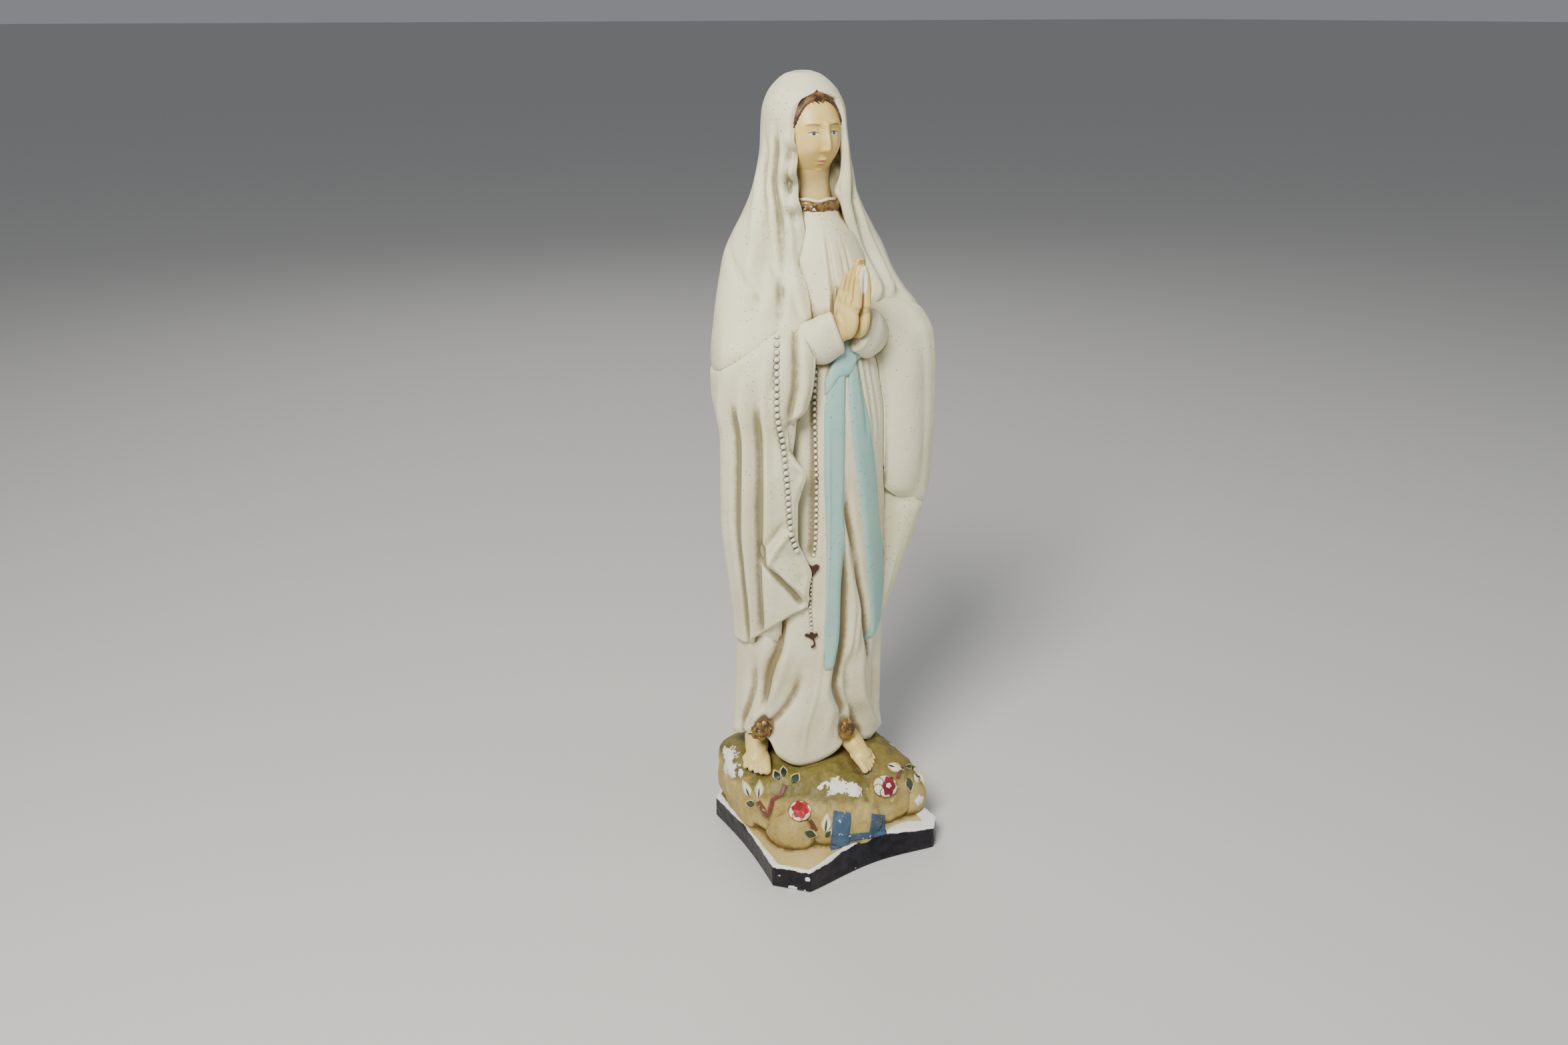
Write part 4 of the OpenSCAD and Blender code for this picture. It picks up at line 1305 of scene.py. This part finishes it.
# rosary
rosary = {
    # each strand from the top down as (z, angle) stops, its beads' distance and radius
    "arm": {"gap": 2.55, "radius": 1.12, "line": [
        (231, -37), (218, -39), (200, -40), (188, -39), (178, -37), (161, -35), (154, -34), (146, -31)]},
    "skirt": {"gap": 2.4, "radius": 0.92, "line": [
        (216, -29), (206, -29), (192, -28), (181, -27), (167, -26), (149, -26), (141, -27)]},
    "pendant": {"gap": 1.9, "radius": 0.7, "line": [(131, -28), (119, -27), (109, -25)]},
    "heart": [(0.3, -3.0), (1.2, -1.5), (2.3, 0.6), (2.4, 1.8), (1.4, 2.3), (0.4, 1.7), (0, 1.4), (-0.4, 1.9),
              (-1.3, 2.2), (-2.3, 1.7), (-2.4, 0.8), (-1.2, -0.8), (-0.3, -2.0)],
    # what is left of the cross: the arms and a thin bent foot
    "cross": [(0.5, -5.0), (1.4, -4.3), (1.35, -2.4), (0.8, -0.6), (1.5, 0.2), (2.1, 0.9), (1.8, 1.7),
              (0.5, 1.3), (0.4, 2.3), (-0.5, 2.3), (-0.6, 1.4), (-1.9, 1.8), (-2.2, 0.9), (-1.0, 0.3),
              (-0.2, -0.5), (0.6, -1.4), (0.9, -2.6), (0.8, -3.9), (0.1, -4.3), (0.0, -4.8)],
    "thick": 0.9,      # of the medal and the cross
}


def beadRow(name, strand, surface):
    bm = bmesh.new()
    stops = sorted(strand["line"])
    size = strand["radius"]
    z = stops[0][0]
    while z <= stops[-1][0]:
        centre = surface(track(stops, np.array([z])), np.array([z]), 0.35)[0]
        addBall(bm, centre, (size, size * 0.75, size * 0.95), rings=7)
        z += strand["gap"]
    return newObject(name, bm, beadPaint)


def makeBeadPaint():
    p = Paint("beadPaint")
    fine = p.grain(500.0, 3.0)
    shadeAndGrime = p.attribute("shadeAndGrime")
    # dark where the beads sit against the cloth: painted shade from the occlusion, together with grime
    colour = p.blend(p.step(shadeAndGrime + (fine - 0.5) * 0.6, 0.35, 0.8), rgb(0.80, 0.76, 0.60),
                     rgb(0.10, 0.065, 0.03))
    colour = p.blend(p.step(p.grain(60.0, 3.0, offset=(7, 1, 5)), 0.66, 0.70), colour, rgb(0.12, 0.04, 0.02))
    return p.finish(colour, 0.6, fine, 0.0001)


beadPaint = makeBeadPaint()
armStrandPiece = beadRow("rosaryArmStrand", rosary["arm"], drapeRightPoint)
skirtStrandPiece = beadRow("rosarySkirtStrand", rosary["skirt"], gownPoint)
pendantPiece = beadRow("rosaryPendant", rosary["pendant"], gownPoint)


def reliefOn(name, centreA, centreZ, outline):
    # a small flat ornament drawn in millimetres and laid on the gown
    bm = bmesh.new()
    flat = bm.faces.new([bm.verts.new((x, z, 0)) for x, z in outline])
    lifted = bmesh.ops.extrude_face_region(bm, geom=[flat])["geom"]
    lifted = [part for part in lifted if isinstance(part, bmesh.types.BMVert)]
    bmesh.ops.translate(bm, verts=lifted, vec=(0, 0, rosary["thick"]))
    degreesPerMm = 1.1 / (27 * math.radians(1))      # 27 mm is about the gown's radius there
    for vert in bm.verts:
        x, z, lift = vert.co
        placed = gownPoint(np.array([centreA + x * degreesPerMm]), np.array([centreZ + z]), 0.2 + lift)[0]
        vert.co = Vector(placed) * mm
    bmesh.ops.recalc_face_normals(bm, faces=bm.faces)
    return newObject(name, bm, brownPaint, smooth=False)


medalPiece = reliefOn("rosaryMedal", -28, 135, rosary["heart"])
crucifixPiece = reliefOn("rosaryCrucifix", -24.5, 104.6, rosary["cross"])
print("rosary strung")

# spring and painted flowers
rockPieces = [moundPiece, leftRockPiece, frontRockPiece, rightRockPiece]
eyePoint = Vector((-230.6, -394.6, 340.0))      # the painter's side: ornaments are laid on from here


def treeOf(pieces):
    # one ray casting tree of all these pieces with their modifiers
    graph = bpy.context.evaluated_depsgraph_get()
    both = bmesh.new()
    for piece in pieces:
        both.from_mesh(piece.evaluated_get(graph).to_mesh())
    tree = BVHTree.FromBMesh(both)
    both.free()
    return tree


rockTree = treeOf([*rockPieces, plinthPiece])


def decal(name, origin, outline, material, lift=0.25, spin=0.0):
    # an outline drawn flat in front of the rock on the painter's side, then pressed onto it
    facing = (Vector(origin) - eyePoint).normalized()
    across = facing.cross(Vector((0, 0, 1))).normalized()
    up = across.cross(facing).normalized()
    bm = bmesh.new()
    turn = math.radians(spin)
    verts = []
    for x, z in outline:
        x, z = x * math.cos(turn) - z * math.sin(turn), x * math.sin(turn) + z * math.cos(turn)
        verts.append(bm.verts.new(Vector(origin) + across * x + up * z - facing * 30))
    bm.faces.new(verts)
    bmesh.ops.triangulate(bm, faces=bm.faces)
    for _ in range(4):
        long = [e for e in bm.edges if e.calc_length() > 0.8]
        if not long:
            break
        bmesh.ops.subdivide_edges(bm, edges=long, cuts=1)
        bmesh.ops.triangulate(bm, faces=bm.faces)
    for vert in bm.verts:
        hit = rockTree.ray_cast(vert.co * mm, facing)[0]
        landed = hit / mm if hit else vert.co + facing * 30
        vert.co = (landed - facing * lift) * mm
    bmesh.ops.recalc_face_normals(bm, faces=bm.faces)
    if sum(f.normal.dot(-facing) * f.calc_area() for f in bm.faces) < 0:
        bmesh.ops.reverse_faces(bm, faces=bm.faces)
    piece = newObject(name, bm, material)
    thicken(piece, lift + 0.15)
    return piece


def petals(radius, count, depth, steps=48, phase=0.0):
    # a round outline with as many lobes as the count says
    turns = [2 * math.pi * k / steps for k in range(steps)]
    reach = [(1 + depth * math.cos(count * t + phase)) * radius for t in turns]
    return [(r * math.cos(t), r * math.sin(t)) for r, t in zip(reach, turns)]


def leafOutline(length, width, steps=10):
    upper = [(length * k / steps, width / 2 * math.sin(math.pi * (k / steps) ** 0.85))
             for k in range(steps + 1)]
    return upper + [(x, -z) for x, z in upper[-2:0:-1]]


def strip(points, width):
    left, right = [], []
    for i, (x, z) in enumerate(points):
        ahead = Vector(points[min(i + 1, len(points) - 1)]) - Vector(points[max(i - 1, 0)])
        side = Vector((-ahead.y, ahead.x)).normalized() * width / 2
        left.append((x + side.x, z + side.y))
        right.append((x - side.x, z - side.y))
    return left + right[::-1]


spring = {
    "at": (0.7, -29.2, 17.0),
    "springLeft": [(-11.4, -10.2), (-3.6, -7.4), (-3.0, 3.0), (-3.2, 5.6), (-10.6, 6.4)],
    "springPool": [(-3.7, -6.6), (12.2, -2.4), (12.2, -0.6), (-3.7, -3.4)],
    "springRight": [(4.4, -4.8), (12.0, -2.6), (11.6, 5.6), (5.8, 5.9), (5.4, 1.0)],
}


def tileOutline(stops, cuts=6):
    # a straight-sided shape with its sides cut finer and a hand's wobble
    random.seed(len(stops) * 7 + int(stops[0][0] * 10))
    out = []
    for (x1, z1), (x2, z2) in zip(stops, stops[1:] + stops[:1]):
        for k in range(cuts):
            t = k / cuts
            shake = 0.0 if k == 0 else 0.16
            x = x1 + (x2 - x1) * t + random.uniform(-shake, shake)
            z = z1 + (z2 - z1) * t + random.uniform(-shake, shake)
            out.append((x, z))
    return out


springParts = [decal(part, spring["at"], tileOutline(spring[part]), bluePaint, 0.3)
               for part in ("springLeft", "springPool", "springRight")]
flowers = []


def addFlower(name, origin, outline, material, slotName, node, lift, spin=0.0):
    flowers.append((decal(name, origin, outline, material, lift, spin), slotName, node))


def paintedRose(name, centre, reach, petal, node, phase):
    # six separate pale petals, each on a thin dark line, laid round the heart
    across = (Vector(centre) - eyePoint).normalized().cross(Vector((0, 0, 1))).normalized()
    ring = petals(petal, 2, 0.14, 26, math.pi)
    border = [(x * 1.2, z * 1.2) for x, z in ring]
    for k in range(6):
        turn = 2 * math.pi * k / 6 + phase
        middle = Vector(centre) + across * (reach * math.cos(turn)) + Vector((0, 0, reach * math.sin(turn)))
        lift, spin = 0.40 + 0.12 * k, math.degrees(turn)
        addFlower(f"{name}Line{k}", middle, border, ochreLinePaint, "rose_paint", node, lift, spin)
        addFlower(f"{name}Petal{k}", middle, ring, petalPaint, "rose_paint", node, lift + 0.06, spin)


def leafPair(node, name, origin, length, width, spin, body, strokeShare=0.0):
    # a moulded leaf: a pale raised rim, the painted blade and, on some, one dark brush stroke down it
    addFlower(name + "Rim", origin, leafOutline(length + 0.9, width + 0.9), creamPaint, "leaf_paint", node,
              0.45, spin)
    addFlower(name + "Blade", origin, leafOutline(length, width), body, "leaf_paint", node, 0.65, spin)
    if strokeShare:
        stroke = leafOutline(length * strokeShare, width * 0.24)
        addFlower(name + "Stroke", origin, stroke, linePaint, "leaf_paint", node, 0.79, spin)


paintedRose("roseFront", (-20.2, -15.3, 23.6), 3.0, 1.95, "rose_front", 0.3)
heartFront = petals(3.4, 6, 0.12, phase=1.0)
addFlower("roseFrontHeart", (-20.0, -15.3, 24.2), heartFront, redPaint, "rose_paint", "rose_front", 1.25)
paintedRose("roseRight", (18.6, -22.1, 27.6), 3.3, 2.15, "rose_right", 0.7)
ringRight = [(x * 0.66, z) for x, z in petals(4.0, 6, 0.12)]
addFlower("roseRightRing", (20.4, -22.1, 27.2), ringRight, crimsonPaint, "rose_paint", "rose_right", 1.25)
addFlower("roseRightHeart", (20.4, -22.1, 27.4), petals(1.1, 5, 0.1), petalPaint, "rose_paint", "rose_right",
          1.4)
leaves = {
    # name, place, length, width, turn, paint and, with a brush stroke, the stroke's share of the length
    "leaves_front": [
        ("leafFrontDark", (-21.6, -22.6, 17.6), 4.8, 3.1, -14, leafPaint),
        ("leafFrontPale", (-13.4, -25.4, 16.6), 7.2, 3.6, 84, petalPaint, 0.8),
        ("leafFrontSmall", (-14.6, -27.7, 16.2), 3.4, 2.0, 50, leafPaint)],
    "leaves_left": [
        ("leafLeftA", (-35.0, 3.4, 24.0), 7.0, 3.0, 112, petalPaint, 0.6),
        ("leafLeftB", (-31.4, 1.8, 23.2), 7.4, 2.9, 86, petalPaint, 0.6),
        ("leafLeftC", (-33.4, 2.2, 20.2), 3.6, 2.6, 168, leafPaint),
        ("leafLeftD", (-23.0, -1.7, 32.2), 4.2, 2.8, 118, leafPaint),
        ("leafLeftE", (-20.2, -1.0, 32.6), 4.0, 2.6, 96, leafPaint),
        ("leafLeftF", (-18.6, -5.5, 31.4), 4.6, 3.4, 56, leafPaint)],
    "leaves_right": [
        ("leafRightTop", (22.8, -17.0, 34.4), 6.8, 3.2, -14, petalPaint, 0.5),
        ("leafRightDark", (31.6, -20.7, 26.8), 5.6, 2.8, -76, leafPaint),
        ("leafRightPale", (35.0, -20.1, 28.0), 6.0, 3.0, -40, petalPaint, 0.7),
        ("leafRightThin", (33.4, -15.5, 29.4), 4.6, 1.6, 0, leafPaint)],
}
briarAt = (-28.6, -4.3, 24.0)
briarLine = [(-5.6, 0.4), (-2.6, -5.2), (-1.4, -6.8), (-0.6, -4.0), (0.9, 1.2), (4.6, 3.2), (6.4, 7.4)]
briarStem = [(-5.2, 0.2), (-2.6, -4.6), (-1.4, -6.2), (-0.4, -3.6), (0.9, 1.2), (4.6, 3.2), (6.2, 7.0)]
stems = {
    # name, place, line, width, paint, slot, node, lift
    "leaves_front": [("stemFront", (-18.0, -22.6, 19.6), [(-1.2, 2.6), (0.2, 0.6), (1.6, -1.8)], 1.1,
                      stemPaint, "leaf_paint", "leaves_front", 0.6)],
    "leaves_left": [("stemLeftLine", briarAt, briarLine, 2.6, ochreLinePaint, "stem_paint", "briar_stem", 0.4),
                    ("stemLeft", briarAt, briarStem, 1.7, stemPaint, "stem_paint", "briar_stem", 0.75)],
    "leaves_right": [("stemRight", (28.6, -18.0, 29.0), [(1.2, 2.6), (0.2, 0.4), (-0.6, -2.6)], 1.2,
                      stemPaint, "leaf_paint", "leaves_right", 0.6)],
}
for node, rows in leaves.items():
    for row in rows:
        leafPair(node, *row)
    for name, place, line, width, *rest in stems[node]:
        addFlower(name, place, strip(line, width), *rest)
print("spring and flowers painted")


# painted shade in the hollows, together with grime
goldenAngle = 2.39996


def strongest(spots, co):
    return max(strength * math.exp(-((co - Vector(spot)).length / reach) ** 2)
               for spot, reach, strength in spots)


def paintShadeAndGrime(pieces, rays, reach=9.0):
    # casts rays from every vertex, and where they soon hit something the vertex gets painted shade, which also
    # stands for grime; fold valleys add to it
    tree = treeOf(pieces)
    spread = []
    for k in range(rays):
        height = 1 - (k + 0.5) / rays * 0.92
        around = k * goldenAngle
        flat = math.sqrt(1 - height * height)
        spread.append(Vector((flat * math.cos(around), flat * math.sin(around), height)))
    for piece in pieces:
        mesh = piece.data
        deep = mesh.attributes.get("valley")
        deep = [0.0] * len(mesh.vertices) if deep is None else [d.value for d in deep.data]
        values = []
        for vert in mesh.vertices:
            turn = vert.normal.to_track_quat("Z", "Y")
            start = vert.co + vert.normal * 0.0003
            shut = 0.0
            for ray in spread:
                hit = tree.ray_cast(start, turn @ ray, reach * mm)
                if hit[0] is not None:
                    shut += 1 - hit[3] / (reach * mm)
            values.append(min(1.0, shut / rays * 1.9 + 0.42 * deep[vert.index]))
        layer = mesh.attributes.new("shadeAndGrime", "FLOAT", "POINT")
        layer.data.foreach_set("value", values)


def paintAttribute(piece, name, value):
    layer = piece.data.attributes.new(name, "FLOAT", "POINT")
    layer.data.foreach_set("value", [float(value(v.co / mm, v.normal)) for v in piece.data.vertices])


# where the rocks' plaster shows bare: place, reach and strength
bareSpots = [((-39, 16, 33), 8.5, 0.85), ((-37, 22, 36), 7.0, 0.75), ((-36, 9, 32), 4.5, 0.6),
             ((-10, -16, 33.5), 5.0, 0.55), ((-4, -19, 33), 7.0, 0.85), ((2, -23, 33), 7.0, 0.8),
             ((8, -25, 31), 5.5, 0.55), ((-5, -14, 36.5), 2.6, 0.6), ((36, -4, 36), 5.0, 0.7),
             ((34, -14, 36), 5.0, 0.6), ((24, -22, 33), 5.0, 0.5), ((20, -26, 24), 5.0, 0.5),
             ((34, -26, 18), 6.0, 0.6), ((-26, -20, 16), 3.0, 0.4), ((-8, -27, 16), 3.0, 0.35),
             ((38, 10, 34), 8.0, 0.5), ((10, 36, 34), 7.0, 0.5), ((-20, 36, 36), 6.0, 0.5)]


def mossyWash(co, normal):
    return 0.8 * float(ease(co.z, 22, 37)) + 0.2 * max(0.0, normal.z)


def thinWash(co, normal):
    return 0.28 * float(ease(co.z, 16, 30))


for rock in rockPieces:
    paintAttribute(rock, "wash", mossyWash if rock in (moundPiece, leftRockPiece) else thinWash)
    paintAttribute(rock, "worn", lambda co, normal: strongest(bareSpots, co))


ledge = {
    "front": 38.6,      # how far its edges lie from the middle
    "back": 38.8,
    "side": 39.0,
    "corner": 67.6,      # x + y along a cut corner, and along the longer one at the right front
    "rightCorner": 72.0,
    "bowStart": -28,
    "bowLength": 62.5,
}


def edgeOf(co, normal):
    # 1 at the ledge's outer edge, falling to 0 a few millimetres in
    x, y = abs(co.x), co.y
    along = min(1.0, max(0.0, (co.x - ledge["bowStart"]) / ledge["bowLength"]))
    bow = plinth["frontBow"] * max(0.0, math.sin(math.pi * along ** plinth["skew"])) ** plinth["sharp"]
    inFront = y + ledge["front"] - bow if y < 0 else ledge["back"] - y
    inCorner = (ledge["rightCorner" if co.x > 0 and y < 0 else "corner"] - x - abs(y)) * 0.7
    away = min(inFront, ledge["side"] - x, inCorner)
    # the right front of the ledge is worn wider
    right = 3.4 * float(ease(co.x, 12, 26)) * float(ease(-y, 14, 26))
    return 1 - float(ease(away, 0.2 + right, 2.8 + right * 1.6))


chipSpots = [((-39, -31, 6), 2.6, 0.9), ((-38.5, -32, 3), 2.2, 0.8), ((-29, -38, 7), 1.7, 0.8),
             ((-34, -34, 0.5), 2.6, 0.9), ((-30, -37.5, 0.3), 1.8, 0.7), ((-4, -35, 1), 1.2, 0.6),
             ((38, -31, 9), 2.2, 0.8), ((-40, -8, 1.5), 1.2, 0.7), ((40, 20, 3), 3.0, 0.7),
             ((10, 39, 8), 3.0, 0.7)]
paintAttribute(plinthPiece, "edge", edgeOf)
paintAttribute(plinthPiece, "chip", lambda co, normal: strongest(chipSpots, co) + 0.06)

everything = [gownPiece, mantlePiece, drapeRightPiece, drapeLeftPiece, sleeveRightPiece, sleeveLeftPiece,
              handRightPiece, handLeftPiece, headPiece, neckPiece, liningPiece, collarPiece, collarRimPiece,
              moundPiece, leftRockPiece, frontRockPiece, rightRockPiece, plinthPiece, footRightPiece,
              footLeftPiece, roseFootRightPiece, roseFootLeftPiece, sashTailRightPiece, sashTailLeftPiece,
              beltPiece, armStrandPiece, skirtStrandPiece, pendantPiece]
paintShadeAndGrime(everything, rays=14)
print("soil settled in the hollows")

# pieces and nodes
claim(plinthPiece, "black_paint", "plinth")
claim(moundPiece, "rock_paint", "rock_mound")
claim(leftRockPiece, "rock_paint", "rock_left_boulder")
claim(frontRockPiece, "rock_paint", "rock_front_boulder")
claim(rightRockPiece, "rock_paint", "rock_right_boulder")
for part in springParts:
    claim(part, "water_paint", "spring")
claim(gownPiece, "gown_paint", "gown_skirt", "gown_bodice")
claim(mantlePiece, "mantle_paint", "mantle_back", "mantle_right_side", "mantle_left_side", "veil_hood")
claim(liningPiece, "mantle_paint", "veil_hood")
claim(drapeRightPiece, "mantle_paint", "drape_right")
claim(drapeLeftPiece, "mantle_paint", "drape_left")
claim(sleeveRightPiece, "mantle_paint", "sleeve_right")
claim(sleeveLeftPiece, "mantle_paint", "sleeve_left")
claim(handRightPiece, "skin_paint", "hand_right")
claim(handLeftPiece, "skin_paint", "hand_left")
claim(headPiece, "skin_paint", "head")
claim(neckPiece, "skin_paint", "neck")
claim(collarPiece, "gilt_paint", "collar")
claim(collarRimPiece, "gown_paint", "collar")
claim(hairRightPiece, "hair_paint", "hair_right")
claim(hairLeftPiece, "hair_paint", "hair_left")
claim(footRightPiece, "skin_paint", "foot_right")
claim(footLeftPiece, "skin_paint", "foot_left")
claim(roseFootRightPiece, "gilt_paint", "foot_rose_right")
claim(roseFootLeftPiece, "gilt_paint", "foot_rose_left")
claim(beltPiece, "sash_paint", "sash_belt")
claim(sashTailRightPiece, "sash_paint", "sash_tail_right")
claim(sashTailLeftPiece, "sash_paint", "sash_tail_left")
claim(armStrandPiece, "bead_paint", "rosary_arm_strand")
claim(skirtStrandPiece, "bead_paint", "rosary_skirt_strand")
claim(pendantPiece, "bead_paint", "rosary_pendant")
claim(medalPiece, "metal_paint", "rosary_medal")
claim(crucifixPiece, "metal_paint", "rosary_crucifix")
for piece, slotName, node in flowers:
    claim(piece, slotName, node)

# floor
floorPaint = Paint("floorPaint")
floorPaint.finish(viewSetup["floorColour"], 0.85, specular=0.2)
floorMesh = bmesh.new()
bmesh.ops.create_grid(floorMesh, x_segments=1, y_segments=1, size=viewSetup["floorSize"])
floorPiece = newObject("floor", floorMesh, floorPaint.material, smooth=False)
